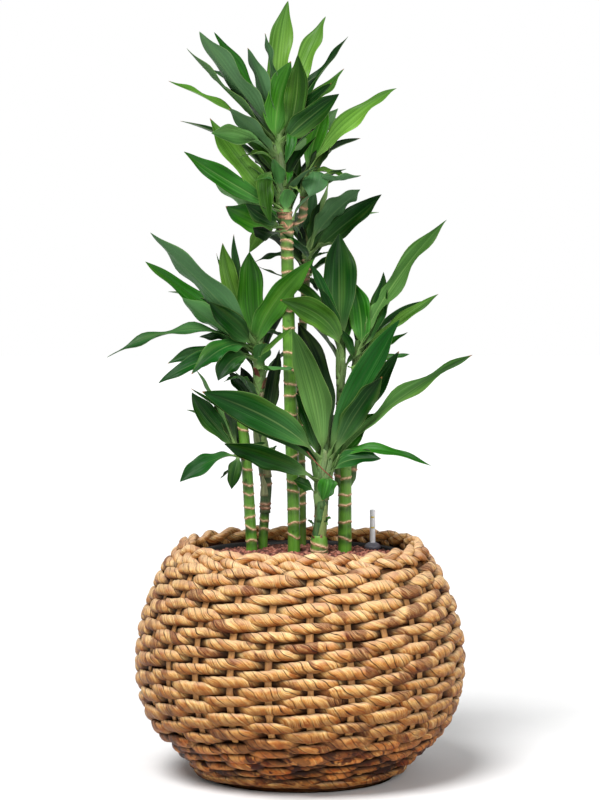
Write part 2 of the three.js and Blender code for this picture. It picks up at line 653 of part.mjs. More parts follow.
// Leaves on the far side of a shoot, at the given azimuths, with small seeded differences. Each arches
// out: it has climbed most of its rise before it is half out.
function hiddenLeaves(stem, { azimuths, low, high, reach, rise }, seed) {
  const random = seededRandom(seed);
  const between = (least, most) => least + (most - least) * random();
  return azimuths.map((azimuthDegrees, i) => {
    const azimuth = THREE.MathUtils.degToRad(azimuthDegrees);
    const height = low + (high - low) * ((i * GOLDEN_SHARE) % 1);
    const outward = new THREE.Vector3(Math.cos(azimuth), Math.sin(azimuth), 0);
    const base = onStem(stem, height).addScaledVector(outward, ROOT_OFFSET);
    const length = reach * between(0.8, 1.1);
    const lift = rise * between(0.7, 1.4);
    const halfway = base.clone().addScaledVector(outward, 0.42 * length);
    halfway.z += 0.75 * lift;
    const tip = base.clone().addScaledVector(outward, length);
    tip.z += lift;
    return { base, halfway, tip, width: between(24, 32), facing: azimuthDegrees, bank: 0, wave: 0 };
  });
}

function namedLeaves(stem, rows) {
  return rows.map(([height, hx, hy, hz, tx, ty, tz, width, facing, bank, wave]) => {
    const halfway = new THREE.Vector3(hx, hy, hz);
    const base = rootOf(stem, height, halfway);
    return { base, halfway, tip: new THREE.Vector3(tx, ty, tz), width, facing, bank, wave };
  });
}

// A leaf's root lies inside the stem, to the side that the leaf leaves from.
function rootOf(stem, height, halfway) {
  const centre = onStem(stem, height);
  const outward = halfway.clone().sub(centre).setZ(0).normalize();
  return centre.addScaledVector(outward, ROOT_OFFSET);
}

function shoot({ stem, radii, leaves, hidden, grownFrom }, seed) {
  const stations = radii.map((_, i) => i / (radii.length - 1));
  let solid = toSolid(bar(stem, stations, radii, STEM_SIDES));
  for (const leaf of [...namedLeaves(stem, leaves), ...hiddenLeaves(stem, hidden, seed)]) {
    solid = solid.add(leafSolid(leaf));
  }
  for (const name of grownFrom) {
    if (CANES[name]) {
      solid = solid.subtract(caneRoom(CANES[name], GAP + SCAR_STANDS_OUT));
    }
  }
  return solid;
}

// ---------- water-level gauge ----------

const surfaceAtGauge = GRANULES_EDGE_HEIGHT + GRANULES_MOUND / 2;
const floatBottom = GAUGE_SHAFT_BOTTOM + GAUGE_FLOOR + GAP;

function gaugeHousing() {
  return lathed([
    [GAUGE_WATER_HOLE, GAUGE_SHAFT_BOTTOM],
    [GAUGE_SHAFT_RADIUS, GAUGE_SHAFT_BOTTOM],
    [GAUGE_SHAFT_RADIUS, surfaceAtGauge + GAUGE_FOOT_HEIGHT * 0.15],
    [GAUGE_FOOT_RADIUS, surfaceAtGauge + GAUGE_FOOT_HEIGHT * 0.2],
    [GAUGE_FOOT_RADIUS, surfaceAtGauge + GAUGE_FOOT_HEIGHT * 0.4],
    [GAUGE_FOOT_RADIUS * 0.78, surfaceAtGauge + GAUGE_FOOT_HEIGHT * 0.75],
    [SIGHT_TUBE_RADIUS + GAUGE_COLLAR_WALL, surfaceAtGauge + GAUGE_FOOT_HEIGHT],
    [SIGHT_TUBE_RADIUS + GAP, surfaceAtGauge + GAUGE_FOOT_HEIGHT],
    [SIGHT_TUBE_RADIUS + GAP, surfaceAtGauge + GAUGE_COLLAR_DEPTH],
    [GAUGE_BORE_RADIUS, surfaceAtGauge + 1],
    [GAUGE_BORE_RADIUS, GAUGE_SHAFT_BOTTOM + GAUGE_FLOOR],
    [GAUGE_WATER_HOLE, GAUGE_SHAFT_BOTTOM + GAUGE_FLOOR],
    [GAUGE_WATER_HOLE, GAUGE_SHAFT_BOTTOM],
  ], GAUGE_SIDES);
}

// The clear tube stands in the housing's collar and is closed at its top.
function sightTube() {
  const bottom = surfaceAtGauge + GAUGE_COLLAR_DEPTH + GAP;
  return lathed([
    [SIGHT_TUBE_BORE, bottom],
    [SIGHT_TUBE_RADIUS, bottom],
    [SIGHT_TUBE_RADIUS, SIGHT_TUBE_TOP - SIGHT_TUBE_ROUNDING],
    [SIGHT_TUBE_RADIUS - SIGHT_TUBE_ROUNDING, SIGHT_TUBE_TOP],
    [0, SIGHT_TUBE_TOP],
    [0, SIGHT_TUBE_TOP - SIGHT_TUBE_CAP],
    [SIGHT_TUBE_BORE, SIGHT_TUBE_TOP - SIGHT_TUBE_CAP],
    [SIGHT_TUBE_BORE, bottom],
  ], GAUGE_SIDES);
}

// The float stands on the housing's floor, and its pin reaches up into the sight tube.
function gaugeFloat() {
  return lathed([
    [0, floatBottom],
    [FLOAT_RADIUS, floatBottom],
    [FLOAT_RADIUS, floatBottom + FLOAT_HEIGHT],
    [FLOAT_PIN_RADIUS, floatBottom + FLOAT_HEIGHT + 2],
    [FLOAT_PIN_RADIUS, FLOAT_PIN_TOP],
    [0, FLOAT_PIN_TOP],
  ], GAUGE_SIDES);
}

// ---------- assembly ----------

const material = (color, roughness, metalness = 0) => (
  new THREE.MeshStandardMaterial({ color, roughness, metalness })
);
const MATERIALS = {
  weave: material(0xc89a5e, 0.75),
  blackPlastic: material(0x151515, 0.45),
  granules: material(0x7a4a3c, 0.9),
  cane: material(0x5c7f34, 0.5),
  leaf: material(0x3f7a2c, 0.4),
  gauge: material(0x4a4a50, 0.4),
  clear: material(0xdfe3e6, 0.15),
  red: material(0xc0281c, 0.4),
};

const plant = new THREE.Group();

function place(name, geometry, finish, x = 0, y = 0) {
  const mesh = new THREE.Mesh(geometry, finish);
  mesh.name = name;
  mesh.position.set(x, y, 0);
  plant.add(mesh);
}

place('basket_wall', basketWall(), MATERIALS.weave);
place('basket_rim', basketRim(), MATERIALS.weave);
place('liner_pot', liner(), MATERIALS.blackPlastic);

let fill = granuleFill();
for (const spec of Object.values(CANES)) {
  const lowered = { ...spec, path: [[...spec.path[0].slice(0, 2), BURIED_END - GAP], ...spec.path.slice(1)] };
  fill = fill.subtract(caneRoom(lowered, HOLE_CLEARANCE));
}
const holeTop = GRANULES_EDGE_HEIGHT + 2 * GRANULES_MOUND;
const holeRadius = GAUGE_SHAFT_RADIUS + 2 * GAP;
const holeBottom = GAUGE_SHAFT_BOTTOM - GAP;
const gaugeHole = new THREE.CylinderGeometry(holeRadius, holeRadius, holeTop - holeBottom, GAUGE_SIDES);
gaugeHole.rotateX(Math.PI / 2);
gaugeHole.translate(GAUGE_X, GAUGE_Y, (holeTop + holeBottom) / 2);
fill = fill.subtract(toSolid(gaugeHole));
place('granules', toGeometry(fill), MATERIALS.granules);

for (const [name, spec] of Object.entries(CANES)) {
  place(name, toGeometry(cane(spec)), MATERIALS.cane);
}
const shootSolids = {};
Object.entries(SHOOTS).forEach(([name, spec], i) => {
  let solid = shoot(spec, 11 + i);
  for (const other of spec.grownFrom) {
    if (shootSolids[other]) {
      solid = solid.subtract(shootSolids[other]);
    }
  }
  shootSolids[name] = mainBody(solid);
  place(name, toGeometry(shootSolids[name]), MATERIALS.leaf);
});

place('gauge_housing', gaugeHousing(), MATERIALS.gauge, GAUGE_X, GAUGE_Y);
place('gauge_sight_tube', sightTube(), MATERIALS.clear, GAUGE_X, GAUGE_Y);
place('gauge_float', gaugeFloat(), MATERIALS.red, GAUGE_X, GAUGE_Y);

export default plant;
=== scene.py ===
"""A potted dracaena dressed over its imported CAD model.

Six canes with leafy shoots stand in clay granules, in a black liner inside a woven basket.
The tables are in millimetres, in the frame of the model: +Z up, the origin at the centre of the
basket's base on the floor, and the camera on the -Y side.
"""
import itertools
import math

import bpy
import numpy as np
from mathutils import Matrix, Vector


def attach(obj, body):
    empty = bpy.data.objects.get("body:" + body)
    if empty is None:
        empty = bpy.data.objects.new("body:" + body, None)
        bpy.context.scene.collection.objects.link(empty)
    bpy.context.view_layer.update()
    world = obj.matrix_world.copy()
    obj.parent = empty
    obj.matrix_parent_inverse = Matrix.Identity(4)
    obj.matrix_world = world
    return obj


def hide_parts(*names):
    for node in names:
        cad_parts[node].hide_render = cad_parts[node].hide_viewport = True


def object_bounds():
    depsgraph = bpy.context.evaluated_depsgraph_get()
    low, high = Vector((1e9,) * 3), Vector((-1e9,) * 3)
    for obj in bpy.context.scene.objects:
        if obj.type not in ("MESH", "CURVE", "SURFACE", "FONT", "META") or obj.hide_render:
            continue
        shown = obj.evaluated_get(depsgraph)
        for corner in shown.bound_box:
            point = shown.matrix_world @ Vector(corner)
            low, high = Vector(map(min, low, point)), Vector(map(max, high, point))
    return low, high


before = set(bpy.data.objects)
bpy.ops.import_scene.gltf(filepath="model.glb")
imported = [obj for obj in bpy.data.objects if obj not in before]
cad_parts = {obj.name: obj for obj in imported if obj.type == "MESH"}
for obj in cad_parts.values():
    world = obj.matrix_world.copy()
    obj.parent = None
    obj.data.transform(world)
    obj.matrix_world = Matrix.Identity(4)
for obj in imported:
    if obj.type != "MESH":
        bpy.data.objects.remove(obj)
cad_box = [list(map(float, corner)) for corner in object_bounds()]

# ---------- the tables: shapes that part.mjs holds too, and what only the looks need ----------

# A cane: its radius, the points that it passes and the heights of its ring scars. A cut top is rounded over
# the given height, by the given amount, and the top of cane_e narrows into its shoot.
CANES = {
    "cane_a": dict(
        radius=7.5, top=(3, 3),
        path=[[-66, 45, 200], [-66, 45, 306], [-72, 45, 408], [-76, 45, 455], [-79, 45, 477]],
        scars=[313, 332, 347, 361, 379, 392, 412, 433, 466]),
    "cane_b": dict(
        radius=6.5,
        path=[[-51, 70, 200], [-51, 70, 308], [-48, 70, 355]],
        scars=[325, 339, 352]),
    "cane_c": dict(
        radius=8.6,
        path=[[-8, 25, 200], [-8, 25, 304], [-9, 24, 374], [-12, 23, 469], [-15, 22, 595], [-17, 21, 697],
              [-18, 20.5, 731]],
        scars=[324, 339, 360, 384, 398, 418, 431, 455, 473, 491, 515, 531, 552, 572, 607, 632, 656, 681,
               700, 714, 722]),
    "cane_d": dict(
        radius=5.6, tone=(88, 120, 44),
        path=[[3, 115, 200], [3, 115, 318], [3, 115, 375], [-1, 114, 530], [7, 112, 650], [8, 111, 662]],
        scars=[332, 356, 368, 392, 415, 440, 466, 492, 518, 542, 566, 590, 612, 634, 648, 656]),
    "cane_e": dict(
        radius=11.8, top=(15, 3.6),
        path=[[26, 5, 200], [26, 5, 300], [26, 5, 326]],
        scars=[302, 308, 315]),
    "cane_f": dict(
        radius=9.2, top=(2, 2),
        path=[[61, 30, 200], [61, 30, 305], [61, 30, 419]],
        scars=[319, 340, 364, 378, 402]),
}

# A shoot. path: the points that its stem passes and its radius there. root: how far it reaches down into
# the cane. scars: heights of its rings.
# hidden: azimuths of the leaves on the far side, their lowest and highest base, reach and rise.
# heart: how many short leaves fill the crown's heart, their lowest and highest base, reach, rise, and the
# share of them, from the bottom, that may stand on the near side.
# leaves: height of the base, a point halfway (x, y, z), the tip (x, y, z), width, facing, tone, and where
# they aren't 0 the bank and the wave.
# scraps: height, azimuth, length, width, lean and colour of dry bits of sheath. edge: the points, radius
# and colour of a sheath's dry edge.
SHOOTS = {}
SHOOTS["shoot_a"] = dict(
    path=[[-73, 43, 421, 5], [-82, 41, 432, 4.6], [-86, 39, 446, 3.4]],
    tone=(112, 142, 72), root=0, scars=[428, 436],
    hidden=([108, 150], 428, 440, 100, 45), heart=(3, 426, 440, 62, 40, 0),
    leaves=[
        (437, -118, 40, 472, -147, 38, 517, 31, 110, "dark"),
        (440, -100, 52, 480, -117, 58, 511, 24, 105, "deep"),
        (427, -122, 27, 425, -163, 14, 397, 29, 200, "blue", -55),
        (430, -88, 28, 412, -93, 24, 386, 19, 262, "dark"),
        (428, -98, 38, 406, -109, 40, 399, 9, 190, "dark"),
        (442, -116, 30, 508, -141, 24, 549, 11, 215, "olive"),
    ],
)
SHOOTS["shoot_b"] = dict(
    path=[[-48, 70, 355.3, 7.6], [-46, 70, 387, 7.6], [-51, 70, 422, 8], [-55, 70, 456, 7.6],
          [-56, 70, 550, 6.6], [-58, 70, 598, 3.6]],
    tone=(82, 112, 68), root=7, scars=[356, 361, 388, 402, 424, 441, 463, 482, 499, 512, 531, 541],
    hidden=([84, 108, 132, 158], 545, 592, 150, 75), heart=(11, 535, 592, 96, 72, 0.4),
    leaves=[
        (575, -120, 32, 652, -201, 0, 735, 37, 250, "blue"),
        (572, -138, 84, 636, -213, 96, 693, 26, 112, "mid"),
        (566, -176, 52, 612, -263, 34, 564, 17, 150, "moss", -50, 3),
        (572, -118, 50, 606, -160, 40, 646, 34, 250, "mid"),
        (576, -92, 44, 606, -123, 28, 641, 30, 112, "dark"),
        (588, -98, 78, 655, -106, 84, 719, 25, 98, "light"),
        (590, -88, 92, 660, -91, 100, 731, 13, 112, "grey"),
        (592, -106, 96, 660, -115, 104, 704, 7, 150, "mid"),
        (582, -68, 66, 645, -69, 70, 707, 37, 92, "bright"),
        (570, -46, 14, 634, 19, -18, 700, 34, 82, "bright"),
        (563, -106, 40, 586, -147, 12, 543, 27, 195, "blue", -60),
        (560, -132, 62, 576, -181, 52, 555, 22, 190, "blue", -55),
        (558, -136, 44, 564, -192, 24, 530, 24, 190, "blue", -60),
        (556, -98, 30, 566, -111, 18, 534, 30, 215, "dark", -50),
        (545, -36, 10, 553, -9, -4, 552, 15, 60, "mid"),
        (562, -41, 8, 580, -11, -2, 608, 7, 60, "light"),
        (588, -40, 60, 600, -20, 66, 590, 13, 60, "dark"),
        (445, -40, 58, 508, -28, 46, 575, 20, 80, "deep"),
        (566, -112, 74, 592, -138, 78, 590, 15, 180, "dark", -50),
        (520, -84, 50, 540, -104, 40, 531, 13, 220, "mid"),
        (505, -78, 46, 530, -88, 36, 545, 11, 200, "dark"),
        (498, -66, 42, 520, -74, 30, 536, 12, 240, "dark"),
        (425, -38, 52, 436, -32, 42, 444, 9, 300, "mid"),
        (474, -64, 86, 508, -82, 96, 548, 24, 90, "deep", 0, 0.6),
        (480, -42, 86, 514, -30, 96, 550, 22, 90, "deep", 0, 0.6),
        (468, -52, 90, 498, -56, 104, 536, 26, 90, "dark", 0, 0.6),
        (490, -76, 76, 516, -98, 78, 544, 20, 100, "dark", 0, 0.6),
    ],
    scraps=[(372, 250, 30, 14, 0.05, (168, 172, 132)), (398, 300, 36, 15, 0.06, (150, 158, 112)),
            (440, 230, 34, 15, 0.08, (128, 148, 96)), (478, 285, 38, 14, 0.1, (150, 140, 108)),
            (512, 200, 22, 9, 0.5, (152, 92, 72)), (520, 320, 20, 8, 0.4, (166, 112, 84)),
            (534, 250, 18, 9, 0.45, (150, 84, 70)), (458, 170, 18, 8, 0.5, (170, 122, 92))],
)
SHOOTS["shoot_c_top"] = dict(
    path=[[-18, 20.5, 731.3, 9.4], [-21, 20, 765, 9.6], [-25, 20, 797, 7.2], [-29, 20, 835, 6],
          [-28, 20, 885, 3.6]],
    tone=(106, 148, 72), root=4, scars=[733, 744, 757, 763, 776, 792],
    hidden=([38, 100, 62, 140, 84, 160], 775, 872, 150, 85), heart=(22, 748, 872, 92, 78, 0.4),
    leaves=[
        (880, -30, 42, 968, -16, 62, 1047, 31, 85, "light"),
        (876, -38, 18, 955, -47, 8, 1001, 20, 205, "blue"),
        (874, 3, 42, 958, 35, 64, 1026, 27, 70, "light"),
        (870, 18, 28, 934, 65, 34, 998, 22, 40, "dark"),
        (860, 15, 48, 905, 60, 72, 956, 24, 60, "light"),
        (866, 12, 0, 908, 42, -8, 934, 18, 60, "dark", 0, 2),
        (850, 8, -12, 884, 52, -38, 919, 30, 65, "dark"),
        (838, 22, 52, 866, 52, 64, 902, 26, -75, "sage"),
        (846, -33, 6, 908, -12, 14, 964, 38, 92, "bright", 0, 2),
        (850, 0, -4, 912, -3, -12, 972, 29, 86, "olive"),
        (862, -86, -14, 930, -133, -42, 1001, 38, 248, "moss"),
        (866, -74, 34, 938, -116, 44, 1004, 22, 130, "mid"),
        (856, -100, -2, 922, -151, -12, 980, 22, 205, "olive"),
        (870, -52, 4, 930, -70, -4, 981, 26, 230, "moss"),
        (848, -108, 6, 908, -176, -2, 937, 18, 190, "light", -35),
        (836, -62, -18, 868, -94, -46, 900, 27, 245, "dark"),
        (766, -76, 4, 818, -121, 10, 888, 31, 110, "light"),
        (834, -78, -8, 866, -118, -28, 867, 31, 195, "sage", -60),
        (824, -55, -2, 846, -82, -8, 834, 14, 200, "light"),
        (762, -94, -8, 798, -155, -20, 843, 27, 112, "mid"),
        (752, -78, 22, 770, -119, 28, 808, 24, 245, "sage"),
        (788, -42, -6, 812, -61, -24, 804, 11, 170, "mid"),
        (795, -42, 42, 818, -63, 60, 837, 26, 120, "dark"),
        (812, -52, -6, 800, -39, -16, 748, 22, 262, "olive"),
        (740, -66, 8, 745, -100, 4, 770, 36, 108, "mid"),
        (744, -48, -4, 754, -73, -16, 774, 24, 108, "dark"),
        (736, -42, -8, 730, -63, -18, 742, 27, 100, "deep"),
        (746, -50, 34, 738, -69, 38, 706, 20, 255, "light"),
        (856, -5, 0, 866, -20, -14, 826, 14, 270, "mid"),
        (796, -10, -2, 822, -17, -12, 800, 9, 280, "mid"),
        (782, -8, 2, 800, 1, -6, 786, 9, 330, "pale"),
        (752, -10, 36, 792, 0, 46, 838, 18, 80, "dark", 0, 0.6),
        (760, -14, 42, 802, -6, 54, 852, 24, 90, "deep", 0, 0.6),
    ],
    scraps=[(741, 250, 9, 15, 0.1, (206, 152, 120)), (752, 300, 9, 14, 0.12, (214, 164, 132)),
            (760, 240, 8, 12, 0.14, (198, 142, 112)), (775, 255, 40, 16, 0.03, (104, 138, 84)),
            (800, 290, 44, 15, 0.05, (124, 156, 104)), (812, 240, 40, 13, 0.08, (112, 146, 88))],
)
SHOOTS["shoot_c_side"] = dict(
    path=[[-10, 25, 742, 6.6], [3, 30, 752, 6.2], [6, 32, 785, 5.4], [9, 33, 818, 3]],
    tone=(96, 126, 62), root=0, scars=[748, 757, 768, 781],
    hidden=([62], 800, 812, 110, 50), heart=(4, 786, 812, 70, 56, 0.3),
    leaves=[
        (815, 66, 26, 886, 130, 20, 928, 26, 58, "light"),
        (812, 26, 30, 832, 40, 32, 857, 22, 60, "deep"),
        (812, 24, 12, 812, 12, 0, 783, 34, 90, "blue"),
        (812, 38, 28, 818, 63, 32, 808, 16, 20, "light", 40),
        (806, 50, 16, 800, 82, 6, 811, 30, -72, "grey"),
        (814, 20, 42, 864, 38, 52, 905, 30, 80, "bright"),
    ],
)
SHOOTS["shoot_d"] = dict(
    path=[[8, 111, 662.3, 5.6], [9, 110, 700, 5.4], [10, 108, 738, 3.4]],
    tone=(110, 126, 68), root=4, scars=[668, 675, 683, 694],
    hidden=([60, 150, 95, 178, 30, 125], 672, 728, 130, 75), heart=(6, 668, 725, 74, 60, 0.4),
    leaves=[
        (700, 64, 100, 744, 112, 92, 785, 30, 70, "dark"),
        (715, 48, 82, 764, 82, 62, 792, 36, -72, "dark"),
        (708, 30, 114, 760, 40, 114, 803, 12, -25, "pale"),
        (705, 17, 100, 745, 28, 98, 775, 13, 60, "dark"),
        (712, 14, 124, 758, 20, 132, 792, 20, -80, "blue"),
        (700, 2, 104, 722, 3, 98, 742, 12, 90, "deep"),
        (692, 7, 34, 712, -25, 0, 735, 10, 120, "blue"),
        (702, 36, 92, 718, 50, 84, 717, 16, -30, "pale"),
        (690, 26, 98, 703, 42, 94, 706, 8, 20, "dark"),
        (688, -26, 116, 706, -62, 112, 692, 12, 170, "dark", -40, 2),
        (672, -25, 112, 668, -58, 108, 686, 8, 170, "dark"),
        (670, 18, 102, 664, 24, 96, 652, 11, 300, "dark"),
        (672, -2, 102, 668, -8, 96, 658, 9, 240, "dark"),
    ],
    scraps=[(676, 260, 14, 6, 0.3, (150, 106, 72)), (684, 300, 12, 5, 0.4, (140, 96, 66))],
)
SHOOTS["shoot_e"] = dict(
    path=[[26, 5, 326.3, 8.2], [28, 5, 345, 8.8], [30, 5, 390, 9.6], [33, 5, 430, 8.4], [34, 5, 450, 4]],
    tone=(76, 112, 52), root=9, scars=[321, 352, 376, 398],
    hidden=([84, 126, 98], 408, 440, 130, 60), heart=(9, 404, 442, 84, 66, 0),
    leaves=[
        (426, -48, -36, 494, -130, -70, 526, 42, 108, "blue"),
        (420, -50, -14, 468, -146, -36, 528, 18, 130, "dark"),
        (398, -42, -38, 436, -101, -62, 456, 32, 106, "dark"),
        (420, 22, -20, 522, -11, -40, 608, 37, 90, "soft"),
        (430, 76, -6, 530, 134, -16, 619, 33, 78, "blue"),
        (424, 92, 10, 508, 134, 12, 575, 28, 75, "dark"),
        (422, 80, -14, 500, 110, -24, 543, 30, 80, "dark"),
        (412, 122, -6, 506, 231, -24, 572, 21, 60, "soft", 0, 3),
        (416, 72, 12, 462, 101, 16, 490, 34, 68, "mid"),
        (411, 98, -12, 454, 176, -28, 423, 17, 20, "mid", 50),
        (408, 72, -14, 434, 109, -24, 432, 27, 40, "blue", 45),
        (385, 2, -8, 396, -9, -14, 402, 17, 130, "dark"),
        (400, 38, -14, 399, 30, -20, 375, 25, 280, "mid"),
        (338, 15, 0, 344, 10, -3, 347, 6, 150, "dark"),
        (340, 38, 0, 350, 42, -3, 349, 7, 20, "mid"),
        (422, 12, -2, 486, -6, -8, 519, 20, 110, "dark"),
        (428, 30, 30, 540, -3, 42, 612, 40, 88, "deep"),
    ],
    scraps=[(318, 250, 46, 22, 0.01, (66, 112, 58)), (316, 310, 52, 20, 0.02, (150, 172, 98)),
            (313, 285, 14, 9, 0.1, (178, 132, 104)), (318, 225, 12, 6, 0.5, (168, 120, 96)),
            (320, 340, 13, 6, 0.5, (150, 104, 80)), (344, 270, 40, 20, 0.03, (74, 120, 62)),
            (362, 245, 56, 15, 0.08, (104, 142, 80)), (374, 300, 58, 15, 0.1, (126, 160, 100)),
            (386, 215, 48, 14, 0.22, (96, 136, 70)), (388, 335, 50, 14, 0.24, (118, 154, 88)),
            (400, 270, 44, 12, 0.14, (132, 164, 106))],
    edge=([[9, -9, 441], [20, -15, 428], [33, -19, 415], [45, -14, 404]], 0.8, (150, 84, 62)),
)
SHOOTS["shoot_f_left"] = dict(
    path=[[57, 28.5, 386, 3.4], [52, 27, 398, 5.2], [51, 27, 425, 5.6], [54, 28, 455, 5.6],
          [55, 28, 531, 5.6], [57, 28, 596, 3.4]],
    tone=(72, 112, 42), root=0, scars=[404, 431, 468, 503, 540, 556],
    hidden=([100, 135], 555, 585, 120, 80), heart=(5, 548, 582, 74, 62, 0),
    leaves=[
        (582, 53, 34, 660, 53, 38, 733, 46, 90, "dark"),
        (575, 38, 18, 650, 12, 10, 695, 15, 110, "blue"),
        (572, 44, 10, 628, 25, 2, 662, 16, 115, "dark"),
        (566, 32, -6, 632, -27, -14, 645, 34, 100, "olive"),
    ],
    scraps=[(430, 280, 26, 9, 0.04, (84, 122, 54)), (478, 240, 28, 9, 0.05, (92, 130, 62)),
            (520, 290, 46, 10, 0.1, (116, 150, 84)), (536, 235, 44, 10, 0.14, (108, 144, 76))],
)
SHOOTS["shoot_f_right"] = dict(
    path=[[65, 32, 386, 3.4], [71, 35.5, 399, 5.2], [73.5, 38, 425, 5.4], [74, 38, 450, 5.4],
          [76, 38, 500, 5.6], [77, 36, 555, 5.4], [78, 35, 588, 3.4]],
    tone=(76, 116, 46), root=0, scars=[412, 447, 480, 515, 540],
    hidden=([32, 78, 54], 545, 575, 120, 70), heart=(3, 540, 568, 62, 50, 0),
    leaves=[
        (576, 84, 34, 618, 70, 38, 670, 30, 92, "mid"),
        (574, 108, 30, 618, 113, 34, 681, 24, 78, "dark"),
        (572, 124, 26, 664, 198, 16, 752, 24, 66, "soft", 0, 4),
        (566, 132, 36, 612, 188, 36, 651, 15, 30, "light", 45),
        (568, 108, 50, 618, 128, 58, 661, 18, -60, "sage"),
        (558, 118, 50, 580, 147, 54, 598, 9, 20, "mid", 40),
        (552, 120, 40, 562, 149, 38, 569, 11, 20, "mid", 50),
        (556, 66, 20, 588, 55, 12, 604, 12, 110, "dark"),
        (548, 68, 24, 554, 72, 16, 548, 10, 300, "pale"),
    ],
    scraps=[(440, 260, 28, 9, 0.04, (86, 124, 56)), (505, 300, 30, 9, 0.06, (98, 136, 66)),
            (524, 250, 42, 9, 0.12, (116, 150, 84))],
)

# The outer side of the basket's wall as [height, radius]; above 260 it turns in under the plait.
WALL = [[0, 137], [30, 167], [66, 201], [110, 219.5], [160, 225], [210, 218], [260, 201.5], [284, 190],
        [297, 182.5], [308, 172]]
STAKES = 25
LINER_RADIUS = 138
FILL_EDGE = 294.6  # height of the clay at the liner
GAUGE = (100, 76)
GAUGE_GROUND = 297
STRAND_LAP = 13.5  # mm of a strand from one lap of its dry leaf to the next

# Colours as sRGB, of the leaves by name.
TONES = {
    # deep is a dark leaf green with painted shade in it, for leaves at the back of the crowns and in their
    # hearts.
    "deep": (2, 34, 2), "dark": (10, 68, 4), "mid": (44, 118, 16), "bright": (68, 142, 26),
    "light": (112, 162, 60), "blue": (22, 92, 24), "sage": (106, 154, 86), "grey": (66, 114, 66),
    "olive": (58, 106, 12), "pale": (150, 184, 100), "soft": (86, 130, 60), "moss": (52, 102, 50),
}
HIDDEN_TONES = ("dark", "mid", "dark", "blue", "bright", "dark")
HEART_TONES = ("dark", "deep", "mid", "dark", "olive")
CANE_TONE = (98, 150, 50)

# Where the random draws start. Canes and shoots count on from theirs, and part.mjs has the hidden one too.
SEED = {"weft": 5, "stakes": 8, "hidden": 11, "granules": 21, "cane": 40, "shoot": 60}


# ---------- surfaces ----------

def rgb(red, green, blue):
    """An sRGB colour of 0 to 255 as linear RGBA."""
    channels = []
    for value in (red, green, blue):
        value /= 255
        channels.append(value / 12.92 if value <= 0.04045 else ((value + 0.055) / 1.055) ** 2.4)
    return (*channels, 1.0)


def smooth(x):
    """A soft step from 0 at 0 to 1 at 1."""
    x = np.clip(x, 0, 1)
    return x * x * (3 - 2 * x)


def unit(vectors):
    """The vectors at length 1."""
    vectors = np.asarray(vectors, float)
    return vectors / np.maximum(np.linalg.norm(vectors, axis=-1, keepdims=True), 1e-9)


def circle(sides):
    """The angles of so many points round a circle."""
    return 2 * np.pi * np.arange(sides) / sides


def heading(degrees):
    """The level unit vector that points that way."""
    return np.array([math.cos(math.radians(degrees)), math.sin(math.radians(degrees)), 0])


def polar(radius, angle, height):
    """Points round the Z axis; the arguments broadcast."""
    radius, angle, height = np.broadcast_arrays(radius, angle, height)
    return np.stack([radius * np.cos(angle), radius * np.sin(angle), height], -1)


def square_to(vectors, ahead):
    """The unit vectors nearest to the given ones that are square to ahead."""
    return unit(vectors - (vectors * ahead).sum(-1, keepdims=True) * ahead)


def run_of(points):
    """The length along a line of points, at each of them."""
    return np.concatenate([[0], np.cumsum(np.linalg.norm(np.diff(points, axis=0), axis=1))])


def quads(grid):
    """The four corners of every cell of a grid."""
    return np.stack([grid[:-1, :-1], grid[:-1, 1:], grid[1:, 1:], grid[1:, :-1]], 2)


